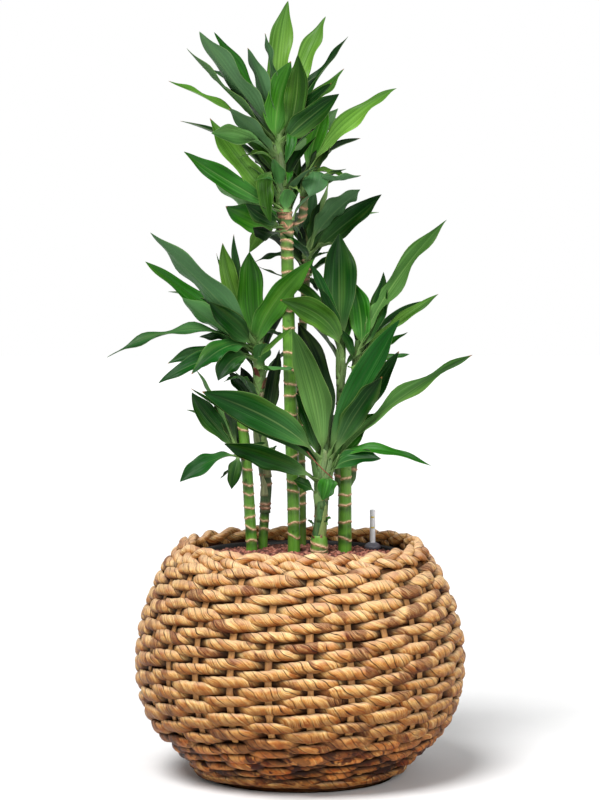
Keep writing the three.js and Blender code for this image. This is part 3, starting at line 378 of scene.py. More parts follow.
class Surface:
    """Points and faces in millimetres, with values for the material, that make one mesh."""

    def __init__(self):
        self.points, self.corners, self.sizes, self.uvs, self.values = [], [], [], [], {}
        self.count = 0

    def add(self, points, faces, uvs, values):
        """Points, faces of point numbers, coordinates for the faces' corners, values for the points."""
        self.points.append(points)
        self.corners.append(faces.reshape(-1))
        self.sizes.append(np.full(faces.size // faces.shape[-1], faces.shape[-1]))
        self.uvs.append(uvs.reshape(-1, 2))
        for name, value in values.items():
            self.values.setdefault(name, []).append(value)
        self.count += len(points)

    def rings(self, points, v, u=None, caps=True, **values):
        """Rows of points that close into rings; v is a coordinate for each row, u those round a ring."""
        rows, columns = points.shape[:2]
        index = self.count + np.arange(rows * columns).reshape(rows, columns)
        index = np.concatenate([index, index[:, :1]], 1)
        u = np.arange(columns + 1) / columns if u is None else u
        u, v = np.broadcast_to(u, index.shape), np.broadcast_to(np.reshape(v, (rows, 1)), index.shape)
        uv = np.stack([u, v], -1)
        spread = {}
        for name, value in values.items():
            shape = (rows, columns, 4) if name == "tone" else (rows, columns)
            spread[name] = np.broadcast_to(np.asarray(value, float), shape)
        whole = {name: value.reshape(rows * columns, -1) for name, value in spread.items()}
        self.add(points.reshape(-1, 3), quads(index), quads(uv), whole)
        for row, order in ((0, -1), (rows - 1, 1)) if caps else ():
            ring = index[row][::order]
            fan = np.stack([np.full(columns, self.count), ring[:-1], ring[1:]], -1)
            middle = {name: value[row].mean(0).reshape(1, -1) for name, value in spread.items()}
            self.add(points[row].mean(0)[None], fan, np.repeat(uv[row].mean(0)[None], fan.size, 0), middle)

    def build(self, name, material):
        """One object of all the faces, in metres, kept inside the model's box."""
        points = np.clip(np.concatenate(self.points) / 1000, *cad_box)
        corners = np.concatenate(self.corners)
        sizes = np.concatenate(self.sizes)
        mesh = bpy.data.meshes.new(name)
        mesh.vertices.add(len(points))
        mesh.vertices.foreach_set("co", points.reshape(-1).astype(np.float32))
        mesh.loops.add(len(corners))
        mesh.loops.foreach_set("vertex_index", corners.astype(np.int32))
        mesh.polygons.add(len(sizes))
        mesh.polygons.foreach_set("loop_start", (np.cumsum(sizes) - sizes).astype(np.int32))
        mesh.polygons.foreach_set("loop_total", sizes.astype(np.int32))
        mesh.update(calc_edges=True)
        uvs = np.concatenate(self.uvs).reshape(-1).astype(np.float32)
        mesh.uv_layers.new(name="UVMap").data.foreach_set("uv", uvs)
        for key, parts in self.values.items():
            kind, field = ("FLOAT_COLOR", "color") if key == "tone" else ("FLOAT", "value")
            layer = mesh.attributes.new(key, kind, "POINT")
            layer.data.foreach_set(field, np.concatenate(parts).reshape(-1).astype(np.float32))
        mesh.shade_smooth()
        mesh.materials.append(material)
        piece = bpy.data.objects.new(name, mesh)
        bpy.context.scene.collection.objects.link(piece)
        return piece


def place(piece, slot, *nodes):
    """A piece rides on the one body and may stand for nodes of the model; slot is not used."""
    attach(piece, "root")
    if nodes:
        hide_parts(*nodes)


def lathe(surface, outline, sides, centre=(0, 0, 0), **values):
    """An outline of [radius, height] turned about a vertical axis; going up, it faces out."""
    outline = np.asarray(outline, float)
    points = polar(outline[:, :1], circle(sides), outline[:, 1:]) + centre
    surface.rings(points, run_of(outline) / 1000, caps=False, **values)


def rounded(outline, radius, steps=4):
    """The outline with its inner corners turned into arcs."""
    outline = [np.asarray(p, float) for p in outline]
    result = [outline[0]]
    for before, corner, after in zip(outline, outline[1:], outline[2:]):
        into, out = before - corner, after - corner
        reach = min(radius, 0.45 * np.linalg.norm(into), 0.45 * np.linalg.norm(out))
        start, end = corner + reach * unit(into), corner + reach * unit(out)
        for t in np.linspace(0, 1, steps + 1):
            result.append((1 - t) ** 2 * start + 2 * t * (1 - t) * corner + t * t * end)
    return np.array(result + [outline[-1]])


def turned(name, material, slot, node, outline, fillet, sides, centre=(0, 0, 0)):
    """A turned piece that stands for one node."""
    surface = Surface()
    lathe(surface, rounded(outline, fillet), sides, centre)
    place(surface.build(name, material), slot, node)


# ---------- materials ----------

class Paint:
    """A material whose colour, roughness and bump come from nodes; shade is its colour so far."""

    def __init__(self, name, **sockets):
        self.material = bpy.data.materials.new(name)
        self.material.use_nodes = True
        self.tree = self.material.node_tree
        self.shader = self.tree.nodes["Principled BSDF"]
        for socket, value in sockets.items():
            self.shader.inputs[socket.replace("_", " ")].default_value = value

    def node(self, kind, inputs, output=0, **settings):
        """An output of a new node whose inputs are linked or set."""
        node = self.tree.nodes.new("ShaderNode" + kind)
        for setting, value in settings.items():
            setattr(node, setting, value)
        for socket, value in inputs.items():
            if isinstance(value, bpy.types.NodeSocket):
                self.tree.links.new(value, node.inputs[socket])
            else:
                node.inputs[socket].default_value = value
        return node.outputs[output]

    def math(self, operation, a, b=0.0):
        return self.node("Math", {0: a, 1: b}, operation=operation)

    def times(self, a, b):
        return self.math("MULTIPLY", a, b)

    def plus(self, a, b):
        return self.math("ADD", a, b)

    def mix(self, factor, a, b, blend="MIX"):
        return self.node("Mix", {0: factor, 6: a, 7: b}, 2, data_type="RGBA", blend_type=blend)

    def band(self, value, low, high, to_low=0.0, to_high=1.0):
        """A soft step from to_low, where the value is low, to to_high, where it is high."""
        return self.node("MapRange", {0: value, 1: low, 2: high, 3: to_low, 4: to_high},
                         interpolation_type="SMOOTHSTEP")

    def value(self, name):
        return self.node("Attribute", {}, 2, attribute_name=name)

    def tone(self):
        return self.node("Attribute", {}, 0, attribute_name="tone")

    def point(self, scale=(1, 1, 1)):
        return self.node("Mapping", {0: self.node("TexCoord", {}, 3), 3: scale})

    def uv(self, scale=(1, 1, 1)):
        return self.node("Mapping", {0: self.node("TexCoord", {}, 2), 3: scale})

    def facing_up(self):
        """1 for a level top, -1 for an underside."""
        return self.node("SeparateXYZ", {0: self.node("TexCoord", {}, 1)}, 2)

    def noise(self, vector, scale, detail=3.0, roughness=0.55):
        return self.node("TexNoise", {"Vector": vector, "Scale": scale, "Detail": detail,
                                      "Roughness": roughness})

    def ramp(self, factor, *stops):
        """A colour ramp with stops of (position, sRGB colour)."""
        node = self.tree.nodes.new("ShaderNodeValToRGB")
        self.tree.links.new(factor, node.inputs[0])
        elements = node.color_ramp.elements
        while len(elements) < len(stops):
            elements.new(0.5)
        for element, (position, colour) in zip(elements, stops):
            element.position = position
            element.color = rgb(*colour)
        return node.outputs[0]

    def start(self, base, factor, *stops):
        """The first shade: a base colour times a ramp."""
        self.shade = self.mix(1.0, base, self.ramp(factor, *stops), "MULTIPLY")

    def lay(self, factor, colour):
        """Lay a colour over the shade."""
        self.shade = self.mix(factor, self.shade, colour)

    def darken_by(self, factor, colour):
        """Let a colour multiply the shade."""
        self.lay(factor, self.mix(1.0, self.shade, colour, "MULTIPLY"))

    def finish(self, roughness, relief, distance, strength):
        """The material, with the shade as its colour and a bump of so many metres."""
        normal = self.node("Bump", {"Height": relief, "Distance": distance, "Strength": strength})
        for socket, value in (("Base Color", self.shade), ("Roughness", roughness), ("Normal", normal)):
            self.tree.links.new(value, self.shader.inputs[socket])
        return self.material


def leaf_paint():
    """A blade's paint. across runs from -1 to 1 over it, along from 0 to 1 and below 0 on the sheath."""
    p = Paint("leaf_blade", Specular_IOR_Level=0.13)
    tone, along = p.tone(), p.value("along")
    side = p.math("ABSOLUTE", p.value("across"))
    streak = p.noise(p.uv((1, 0.02, 1)), 3.4, 3, 0.6)
    pleat = p.noise(p.uv((0.45, 0.025, 1)), 1.0, 2, 0.5)
    cloud = p.noise(p.uv((0.16, 0.35, 1)), 1.3, 2, 0.5)
    vein = p.math("SINE", p.times(p.value("lane"), 2 * math.pi))
    fading = p.band(along, 0.95, 0.55)
    # Fine pale streaks along the blade: partly its veins, partly painted sheen.
    p.start(tone, streak, (0.34, (176, 190, 168)), (0.5, (232, 236, 226)), (0.7, (255, 255, 248)))
    p.lay(p.band(streak, 0.56, 0.72, 0, 0.3), p.mix(0.5, tone, rgb(176, 206, 140)))
    # Painted shading: lengthwise bands darkened along the pleats.
    p.darken_by(p.band(pleat, 0.4, 0.68, 0, 0.42), rgb(150, 172, 140))
    p.darken_by(p.band(cloud, 0.42, 0.7, 0, 0.6), rgb(138, 170, 140))
    p.lay(p.band(cloud, 0.5, 0.26, 0, 0.5), p.mix(0.45, tone, rgb(136, 172, 70)))
    # The lower half lighter: partly the blade's own paler base, partly painted sheen.
    p.lay(p.band(along, 0.66, 0.15, 0, 0.34), p.mix(0.5, tone, rgb(124, 172, 108)))
    p.darken_by(p.band(along, 0.4, 0.95, 0, 0.7), rgb(134, 166, 132))
    p.lay(p.times(p.band(vein, -1, 0.6, 0.14, 0), fading), rgb(6, 34, 8))
    rib = p.times(p.band(side, 0.085, 0.015), p.band(along, 1.0, 0.3))
    p.lay(p.times(rib, p.value("rib")), p.mix(0.5, tone, rgb(186, 210, 130)))
    # Painted highlight along both margins.
    p.lay(p.band(side, 0.95, 1.0, 0, 0.36), p.mix(0.5, tone, rgb(190, 204, 120)))
    p.lay(p.times(p.value("under"), 0.42), p.mix(0.5, tone, rgb(128, 166, 124)))
    p.lay(p.band(along, 0.3, 0.04, 0, 0.8), p.mix(0.2, rgb(142, 172, 104), tone))
    edge = p.plus(along, p.times(p.noise(p.point(), 220, 2), 0.03))
    p.lay(p.times(p.value("dry"), p.band(edge, 0.982, 1.0)), rgb(120, 84, 44))
    rough = p.band(p.noise(p.point(), 70, 3), 0.3, 0.75, 0.36, 0.5)
    relief = p.plus(p.times(p.times(vein, fading), 0.14), p.times(p.times(pleat, fading), 2.4))
    return p.finish(rough, relief, 0.0007, 0.7)


def stem_paint():
    """A young stem between its leaves: sheath fibres, ring scars and dry scraps."""
    p = Paint("young_stem")
    fibre = p.noise(p.uv((30, 1.2, 1)), 3, 4, 0.65)
    patch = p.noise(p.point((1, 1, 0.5)), 70, 3)
    p.start(p.tone(), fibre, (0.32, (150, 150, 140)), (0.5, (215, 215, 205)), (0.7, (255, 255, 245)))
    p.lay(p.band(patch, 0.52, 0.7, 0, 0.2), rgb(150, 132, 96))
    p.lay(p.times(p.value("shadow"), 0.7), rgb(34, 56, 22))
    mark = p.mix(p.band(patch, 0.4, 0.6), rgb(214, 166, 136), rgb(168, 112, 88))
    p.lay(p.times(p.value("scar"), p.band(fibre, 0.2, 0.6, 0.6, 1.0)), mark)
    return p.finish(p.band(fibre, 0.3, 0.7, 0.5, 0.75), fibre, 0.0012, 0.6)


def cane_paint():
    """A green cane: bright between its ring scars, dark below each, with faint upright streaks."""
    p = Paint("green_cane", Specular_IOR_Level=0.3, Coat_Weight=0.1, Coat_Roughness=0.3)
    streak = p.noise(p.uv((26, 0.9, 1)), 2.4, 4, 0.6)
    cloud = p.noise(p.point((1, 1, 0.35)), 46, 3)
    blotch = p.noise(p.point((1, 1, 0.8)), 60, 3, 0.6)
    speck = p.noise(p.point(), 620, 2, 0.7)
    scar = p.value("scar")
    p.start(p.tone(), streak, (0.3, (178, 194, 160)), (0.52, (232, 238, 216)), (0.72, (255, 255, 240)))
    p.lay(p.band(cloud, 0.46, 0.68, 0, 0.55), rgb(120, 160, 66))
    p.lay(p.band(speck, 0.64, 0.74, 0, 0.45), rgb(112, 112, 60))
    # Painted shade below each ring scar, broken up by blotches.
    blotchy_scar_shade = p.times(p.value("shadow"), p.band(blotch, 0.3, 0.6, 0.3, 1.0))
    p.lay(p.times(blotchy_scar_shade, 0.95), rgb(16, 42, 10))
    p.lay(p.band(blotch, 0.57, 0.69, 0, 0.75), rgb(30, 68, 18))
    worn = p.band(p.noise(p.point((1, 1, 2)), 260, 3), 0.42, 0.66)
    mark = p.mix(worn, rgb(236, 190, 156), rgb(170, 116, 86))
    p.lay(p.times(scar, p.band(streak, 0.2, 0.5, 0.75, 1.0)), mark)
    rough = p.plus(p.band(streak, 0.3, 0.7, 0.36, 0.48), p.times(scar, 0.25))
    return p.finish(rough, p.plus(streak, p.times(speck, 0.3)), 0.0006, 0.5)


def rope_paint(name, light, dark, stain, stained, underside):
    """Dry leaf wound into a strand: laps that end in thin dark seams, fibres along them, stained stretches.

    u runs once round the strand from its inner side and v is the length along it in metres. low is 1 at the
    foot, and depth is 1 deep in the weave, where it paints shade.
    """
    p = Paint(name, Specular_IOR_Level=0.18)
    around, length = (p.node("SeparateXYZ", {0: p.uv()}, i) for i in range(2))
    drift = p.noise(p.uv((0.4, 9, 1)), 2.0, 2)
    phase = p.math("SUBTRACT", p.math("DIVIDE", length, STRAND_LAP / 1000), p.times(around, 3.0))
    phase = p.plus(phase, p.times(drift, 3.4))
    turn = p.math("FRACT", phase)
    low, depth = p.value("low"), p.value("depth")
    fibre = p.noise(p.node("CombineXYZ", {0: p.times(phase, 9.0), 1: around, 2: length}), 3.0, 4, 0.65)
    coarse = p.noise(p.node("CombineXYZ", {0: p.times(phase, 1.5), 1: around, 2: length}), 2.0, 2, 0.5)
    grain = p.noise(p.point(), 420, 3, 0.6)
    stretch = p.noise(p.uv((0.3, 16, 1)), 1.0, 2, 0.5)
    broad = p.noise(p.point((1, 1, 2)), 55, 2, 0.6)
    blot = p.noise(p.point(), 40, 3, 0.6)
    lapwise = p.node("TexWhiteNoise", {1: p.math("FLOOR", phase)}, 0, noise_dimensions="1D")
    p.start(light, fibre, (0.36, (158, 106, 54)), (0.47, (228, 194, 144)), (0.6, (255, 255, 255)))
    p.darken_by(p.band(coarse, 0.4, 0.64, 0, 0.65), rgb(212, 164, 104))
    p.darken_by(p.times(lapwise, 0.6), rgb(216, 174, 116))
    p.darken_by(p.band(broad, 0.46, 0.68, 0, 0.65), rgb(206, 150, 86))
    p.lay(p.band(grain, 0.52, 0.74, 0, 0.4), dark)
    # Painted highlight: faces turned upward lightened towards cream.
    p.lay(p.band(p.facing_up(), 0.05, 0.75, 0, 0.4), p.mix(0.6, p.shade, rgb(255, 240, 214)))
    # Painted shade: faces turned downward darkened by the underside share, less at the foot.
    shaded = p.times(p.band(p.facing_up(), 0.4, -0.45), underside)
    p.lay(p.times(shaded, p.band(low, 0, 1, 1.0, 0.3)), p.mix(0.2, dark, p.shade))
    spread = p.plus(stretch, p.times(p.math("SUBTRACT", lapwise, 0.5), 0.12))
    spread = p.plus(spread, p.times(low, 0.06))
    patch = p.times(p.band(spread, 0.57, 0.61), p.band(fibre, 0.6, 0.44, 0.4, 1.0))
    p.darken_by(p.times(patch, stained), stain)
    p.darken_by(p.times(low, p.band(broad, 0.25, 0.6, 0.3, 0.9)), rgb(220, 156, 78))
    p.darken_by(p.times(low, p.band(blot, 0.5, 0.57, 0, 0.95)), rgb(82, 36, 12))
    p.lay(p.times(low, p.band(lapwise, 0.6, 0.8, 0, 0.35)), p.mix(0.6, p.shade, rgb(232, 158, 82)))
    strength = p.times(p.band(drift, 0.4, 0.56, 0.3, 1.0), p.band(broad, 0.3, 0.55, 0.6, 1.0))
    seam = p.times(p.plus(p.band(turn, 0.13, 0.04), p.band(turn, 0.96, 1.0)), strength)
    p.lay(p.math("MINIMUM", seam, 1.0), rgb(26, 10, 2))
    # Painted shade: parts deep in the weave darkened almost to black.
    p.lay(p.times(depth, 0.96), rgb(34, 12, 1))
    relief = p.plus(p.times(fibre, 0.5), p.times(turn, 1.1))
    return p.finish(p.band(fibre, 0.3, 0.7, 0.38, 0.6), relief, 0.002, 1.0)


def stake_paint():
    """A dry flat strip with upright fibres and darker patches."""
    p = Paint("flat_stake")
    fibre = p.noise(p.uv((16, 2.5, 1)), 4, 4, 0.65)
    patch = p.noise(p.point(), 20, 3)
    p.shade = p.ramp(fibre, (0.3, (136, 84, 38)), (0.5, (188, 132, 72)), (0.7, (220, 172, 108)))
    p.lay(p.band(patch, 0.5, 0.68, 0, 0.6), rgb(128, 78, 44))
    return p.finish(p.band(fibre, 0.3, 0.7, 0.45, 0.65), fibre, 0.001, 0.6)


def granule_paint():
    """Baked clay: one dull red-brown a granule, with open pores."""
    p = Paint("clay_granule")
    pore = p.noise(p.point(), 900, 3, 0.7)
    p.start(p.tone(), pore, (0.32, (120, 112, 108)), (0.52, (232, 226, 222)), (0.7, (255, 255, 255)))
    return p.finish(p.band(pore, 0.3, 0.7, 0.8, 0.95), pore, 0.0012, 0.8)


def plain_paint(name, first, second, scale, low, high, depth, **sockets):
    """Moulded plastic: two close colours in soft clouds, a roughness from low to high and a fine grain."""
    p = Paint(name, **sockets)
    cloud = p.noise(p.point(), scale, 3)
    grain = p.noise(p.point(), scale * 22, 2)
    p.shade = p.mix(p.band(cloud, 0.35, 0.65), first, second)
    return p.finish(p.band(grain, 0.3, 0.7, low, high), grain, depth, 0.5)


# ---------- leaves ----------

# How a blade leaves the stem: the share of its length that its first handle takes, and its direction.
LEAVING_SHARE, LEAVING_UPWARD, LEAVING_STEEPER, LEAVING_OUTWARD = 0.16, 0.35, 0.25, 0.4
STATIONS = np.concatenate([np.linspace(0, 0.16, 7), np.linspace(0.2, 0.9, 21), np.linspace(0.925, 0.997, 6)])
COLUMNS = np.sin(np.linspace(-1, 1, 13) * math.pi / 2) * 0.35 + np.linspace(-1, 1, 13) * 0.65
ROWS, ACROSS = STATIONS[:, None], COLUMNS[None]
STEM_GAP = 0.7
MIDDLE_THICKNESS, EDGE_THINNER, RIB_HEIGHT, SHEATH_HALF = 0.9, 0.45, 0.7, 0.35
SHEATH_WIDTH, SHEATH_ROOM = 13, 36  # the narrowest leaf with a sheath, and the stem that has to be below it
VEIN_SPACING = 4.2
DRY_SHARE = 0.3  # of the leaves have a dry tip
BLADE_V = 12  # v coordinates to a metre of blade
CALM, WAVY = 0.6, 2  # mm of wave: of a leaf that fills a crown, and where a margin turns to large scallops


def width_share(t):
    """A blade's width along it: a narrow channelled base, widest past the middle, then a drawn-out tip."""
    growing = 0.18 + 0.82 * smooth((t - 0.03) / 0.44) ** 1.25
    closing = np.clip((t - 0.47) / 0.53, 0, 1)
    return np.where(t < 0.47, growing, (1 - closing ** 3) * (1 - 0.3 * smooth((closing - 0.5) / 0.45)))


class Stem:
    """A stem's centre line and radius by height, from points of [x, y, z, radius]."""

    def __init__(self, path):
        self.x, self.y, self.z, self.radii = np.array(path, float).T
        self.low, self.high = self.z[0], self.z[-1]

    def at(self, height):
        x, y = np.interp(height, self.z, self.x), np.interp(height, self.z, self.y)
        return np.stack([x, y, np.asarray(height, float)], -1)

    def radius(self, height):
        return np.interp(height, self.z, self.radii)


def blade_line(root, start, half, tip):
    """A blade's middle line, that leaves the stem steeply and passes near half, and its length."""
    length = np.linalg.norm(half - start) + np.linalg.norm(tip - half)
    ahead = unit(half - start)
    leave = unit(np.array([0, 0, LEAVING_UPWARD + LEAVING_STEEPER * ahead[2]]) + LEAVING_OUTWARD * ahead)
    first = start + LEAVING_SHARE * length * leave
    second = (8 * half - start - tip - 3 * first) / 3
    straight = tip + 0.62 * (half - tip)
    overshoot = np.linalg.norm(second - straight) / length
    second = second + (0.5 + 0.5 * smooth(overshoot / 0.4)) * (straight - second)
    first = first + 0.5 * ((8 * half - start - tip - 3 * second) / 3 - first)
    t = ROWS
    line = (1 - t) ** 3 * root + 3 * t * (1 - t) ** 2 * first + 3 * t * t * (1 - t) * second + t ** 3 * tip
    return line, length


def blade_axes(line, natural, facing, bank, rng):
    """Unit vectors across a blade and up from it; it turns from the stem to its own facing, and sways."""
    leaving = smooth(ROWS / 0.1)
    along = unit(np.gradient(line, STATIONS, axis=0))
    along = unit((1 - leaving) * (0, 0, 1) + leaving * along)
    turn = (facing - natural + 180) % 360 - 180
    azimuth = np.radians(natural + turn * smooth(STATIONS / 0.3))
    side = np.stack([-np.sin(azimuth), np.cos(azimuth), 0 * azimuth], -1)
    side = square_to(side, along)
    sway = np.radians(bank) * np.sin(math.pi / 2 * ROWS)
    sway = sway + np.radians(rng.uniform(-16, 16)) * np.sin(math.pi * ROWS * rng.uniform(1, 1.8))
    side = side * np.cos(sway) + np.cross(along, side) * np.sin(sway)
    return side, np.cross(along, side)


def blade_section(width, wave, hug, clasp, length, rng):
    """Offsets across and up at each row and column: the blade clasps the stem, then opens out and waves."""
    t, s = ROWS, ACROSS
    full = width_share(t)
    opened = smooth(t / 0.16)
    narrowest = 0.24 * (1 - smooth((t - 0.7) / 0.1))
    arc = (1 - opened) * hug * clasp + opened * width / 2 * np.maximum(full, narrowest)
    curl = np.maximum(clasp * (1 - smooth(t / 0.22)), 0.02)
    # Both margins swing out and in, and then the strip is curled round the stem.
    scallop = 0 * s * t
    for margin in (-1, 1):
        turns, phase = rng.uniform(1.6, 3.0) + (0.9 if wave > WAVY else 0), rng.uniform(0, 2 * math.pi)
        swing = (0.42 if wave > WAVY else rng.uniform(0.04, 0.12)) * smooth(t / 0.3)
        scallop = scallop + swing * np.maximum(margin * s, 0) ** 2 * np.sin(2 * math.pi * turns * t + phase)
    arc = arc * (1 + scallop)
    x = arc * np.sin(s * curl) / curl
    y = arc * (1 - np.cos(s * curl)) / curl
    # Away from the stem the blade is a shallow trough, waves in opposite ways on its two sides, has pleats
    # and gentle waves along its margins.
    reach = smooth(t / 0.25)
    y = y + 0.3 * width / 2 * full * np.abs(s) ** 1.3 * reach
    y = y - min(wave, 0.03 * length) * full * np.sin(2 * math.pi * 3 * t) * np.sign(s) * np.abs(s) ** 1.5
    pleats, drift = rng.uniform(1.1, 1.9), rng.uniform(0, 2 * math.pi)
    y = y + rng.uniform(0.25, 0.5) * reach * full * np.cos(2 * math.pi * pleats * s + drift)
    gentle = (0.0 if wave else 1.0) * min(4.2, 0.14 * width, 0.03 * length)
    for margin in (-1, 1):
        turns, phase = rng.uniform(1.8, 3.8), rng.uniform(0, 2 * math.pi)
        swing = gentle * reach * full
        y = y + swing * np.maximum(margin * s, 0) ** 2 * np.sin(2 * math.pi * turns * t + phase)
    return x, y


def sheath(stem, height, natural, clasp, layer, rng):
    """Rings of the sheath below a blade, inner and outer side, and their stations, below 0."""
    depth = min(rng.uniform(16, 34), max(4.0, height - stem.low - 38))
    v = np.linspace(1, 1 / 6, 6)[:, None]
    level = height - depth * v[:, 0]
    grown = clasp + (min(2.6, clasp + 1.4) - clasp) * smooth(v)
    out = stem.radius(level)[:, None] + 0.1 + (0.6 + layer) * smooth(1.2 * (1 - v))
    angle = math.radians(natural) + ACROSS * grown
    centre = stem.at(level)[:, None]
    inner, outer = (centre + polar(out + offset, angle, 0) for offset in (-SHEATH_HALF, SHEATH_HALF))
    return inner, outer, -0.18 * v[:, 0]


def leaf(surface, stem, row, tone, layer, rng):
    """One blade with its clasping base and the sheath below it, over layer mm of other leaves."""
    height, half, tip, width, facing, bank, wave = row
    half, tip = np.asarray(half, float), np.asarray(tip, float)
    height = min(height, stem.high - 2)
    centre = stem.at(height)
    outward = unit((half - centre) * (1, 1, 0))
    natural = math.degrees(math.atan2(outward[1], outward[0]))
    hug = stem.radius(height) + STEM_GAP + layer
    clasp = min(1.2, 0.42 * width / hug)
    line, length = blade_line(centre + hug * outward, centre + 3 * outward, half, tip)
    side, up = blade_axes(line, natural, facing, bank, rng)
    x, y = blade_section(width, wave, hug, clasp, length, rng)
    thick = (MIDDLE_THICKNESS - EDGE_THINNER * np.abs(ACROSS)) * (1 - 0.5 * smooth((ROWS - 0.8) / 0.2))
    ridge = RIB_HEIGHT * np.exp(-(ACROSS / 0.07) ** 2) * (1 - ROWS)
    flat = line[:, None] + x[..., None] * side[:, None]
    top = flat + (y + thick / 2)[..., None] * up[:, None]
    bottom = flat + (y - thick / 2 - ridge)[..., None] * up[:, None]
    station = STATIONS
    if width >= SHEATH_WIDTH and height > stem.low + SHEATH_ROOM:
        inner, outer, below = sheath(stem, height, natural, clasp, layer, rng)
        top, bottom = np.concatenate([inner, top]), np.concatenate([outer, bottom])
        station = np.concatenate([below, STATIONS])
    across = np.concatenate([COLUMNS[::-1], COLUMNS])
    under = np.repeat([0.0, 1.0], len(COLUMNS))
    lanes = round(width / VEIN_SPACING)
    offset = rng.uniform(0, 40)
    u = np.append(across, across[0]) * lanes * 0.5 + offset
    v = station * length / 1000 * BLADE_V + offset
    surface.rings(np.concatenate([top[:, ::-1], bottom], 1), v, u, tone=tone, across=across,
                  along=station[:, None], under=under, lane=across * lanes * 0.5,
                  dry=float(rng.random() < DRY_SHARE), rib=rng.choice([0.04, 0.12, 0.3]))


def varied(tone, rng):
    """A tone with a little of the shoot's natural spread."""
    colour = np.array(rgb(*TONES[tone]))
    colour[:3] *= rng.uniform(0.86, 1.14) * (1 + rng.uniform(-0.06, 0.06, 3))
    return colour


def table_row(height, x1, y1, z1, x2, y2, z2, width, facing, tone, bank=0, wave=0):
    """A leaf of a shoot's table as leaf() takes it, and its tone."""
    return (height, (x1, y1, z1), (x2, y2, z2), width, facing, bank, wave), tone


def seeded(seed):
    """The generator that part.mjs places the far leaves with."""
    while True:
        seed = (seed * 1664525 + 1013904223) % 4294967296
        yield seed / 4294967296


def arching(base, outward, length, lift, halfway):
    """The middle, with that share of the lift, and the tip of a leaf that reaches out and up."""
    up = np.array([0, 0, lift])
    return base + 0.42 * length * outward + halfway * up, base + length * outward + up


def hidden_rows(stem, seed, azimuths, low, high, reach, rise):
    """The leaves on the far side, by the rule of part.mjs."""
    draws = seeded(seed)

    def between(a, b):
        return a + (b - a) * next(draws)

    for i, degrees in enumerate(azimuths):
        height = low + (high - low) * ((i * 0.618) % 1)
        outward = heading(degrees)
        base = stem.at(height) + 3 * outward
        length = reach * between(0.8, 1.1)
        lift = rise * between(0.7, 1.4)
        width = between(24, 32)
        yield height, *arching(base, outward, length, lift, 0.75), width, degrees, 0, CALM


def heart_rows(stem, rng, count, low, high, reach, rise, front):
    """Leaves at the golden angle round a crown's heart, steeper towards its top."""
    for i in range(count):
        share = (i + 0.5) / count
        degrees = (137.5 * i + rng.uniform(-14, 14)) % 360
        toward = 0.5 - 0.5 * math.sin(math.radians(degrees))
        if toward > 0.6 and share > front:
            continue
        outward = heading(degrees)
        base = stem.at(low + (high - low) * share)
        length = reach * rng.uniform(0.75, 1.1) * (1 - 0.5 * toward) * (1 - 0.25 * share)
        lift = rise * rng.uniform(0.7, 1.25) * (0.8 + 0.5 * share) * (1 - 0.45 * toward)
        width, bank = rng.uniform(18, 27), rng.uniform(-20, 20)
        yield base[2], *arching(base, outward, length, lift, 0.54), width, degrees, bank, CALM


# ---------- canes and stems ----------

ROD_SIDES, ROD_STEP = 28, 2.4


def rod_levels(low, high, scars, rounding):
    """Heights of a rod's rings: even steps, closer at the scars and over a rounded top."""
    top = high - rounding * (1 - np.sin(np.linspace(0, math.pi / 2, 6))) if rounding else []
    near = [scar + np.linspace(-2.4, 2.4, 7) for scar in scars]
    levels = np.unique(np.concatenate([np.arange(low, high, ROD_STEP), *near, top, [high]]))
    levels = levels[(levels >= low) & (levels <= high)]
    return levels[np.concatenate([[True], np.diff(levels) > 0.25])]


def rod(surface, stem, low, high, scars, rng, tone, scar_width=1.5, ridge=0.7, wander=1.5, top=(0, 0)):
    """A stem between two heights; its ring scars run askew, stand out as low ridges and shade the cane."""
    rounding, narrowing = top
    levels = rod_levels(low, high, scars, rounding)
    angle = circle(ROD_SIDES)
    z = np.repeat(levels[:, None], ROD_SIDES, 1)
    shift, mark, swell, shadow = (np.zeros_like(z) for _ in range(4))
    for scar in scars:
        # A ring is tilted and dips to a point on one side, where an old leaf's midrib was.
        tilt, turn = rng.uniform(0.8, 2.6), rng.uniform(0, 6.28)
        dip, point = rng.uniform(0.5, 2.4), rng.uniform(3.6, 6)
        near = np.clip(1 - np.abs(levels - scar) / 8, 0, 1)[:, None]
        from_point = (angle - point + math.pi) % (2 * math.pi) - math.pi
        shift += wander * near * (tilt * np.cos(angle - turn) - dip * np.exp(-(from_point / 0.55) ** 2))
        away = (levels - scar)[:, None]
        mark = np.maximum(mark, np.exp(-(away / scar_width) ** 2))
        swell += ridge * np.exp(-(away / 1.1) ** 2) - 0.25 * np.exp(-((away + 2.4) / 1.4) ** 2)
        shadow = np.maximum(shadow, rng.uniform(0.3, 1.0) * np.exp(-((away + 4.5) / 4.6) ** 2))
    radius = stem.radius(levels)[:, None] + swell
    radius = radius * (1 + 0.02 * np.sin(2 * angle + 0.02 * z + rng.uniform(0, 6)))
    if rounding:
        radius = radius - narrowing * (1 - np.sqrt(1 - np.clip((z - high + rounding) / rounding, 0, 1) ** 2))
    points = stem.at(levels)[:, None] + polar(radius, angle, shift)
    points[..., 2] = np.clip(points[..., 2], low, high)
    surface.rings(points, levels / 100 + rng.uniform(0, 9), tone=rgb(*tone), scar=mark, shadow=shadow)


def cane_piece(name, index, path, radius, scars, tone=CANE_TONE, top=(0, 0)):
    """One object that stands for the cane's node."""
    stem = Stem([[*point, radius] for point in path])
    rng = np.random.default_rng(SEED["cane"] + index)
    surface = Surface()
    rod(surface, stem, stem.low, stem.high, scars, rng, tone, top=top)
    place(surface.build("fine_" + name, CANE), "green_cane", name)


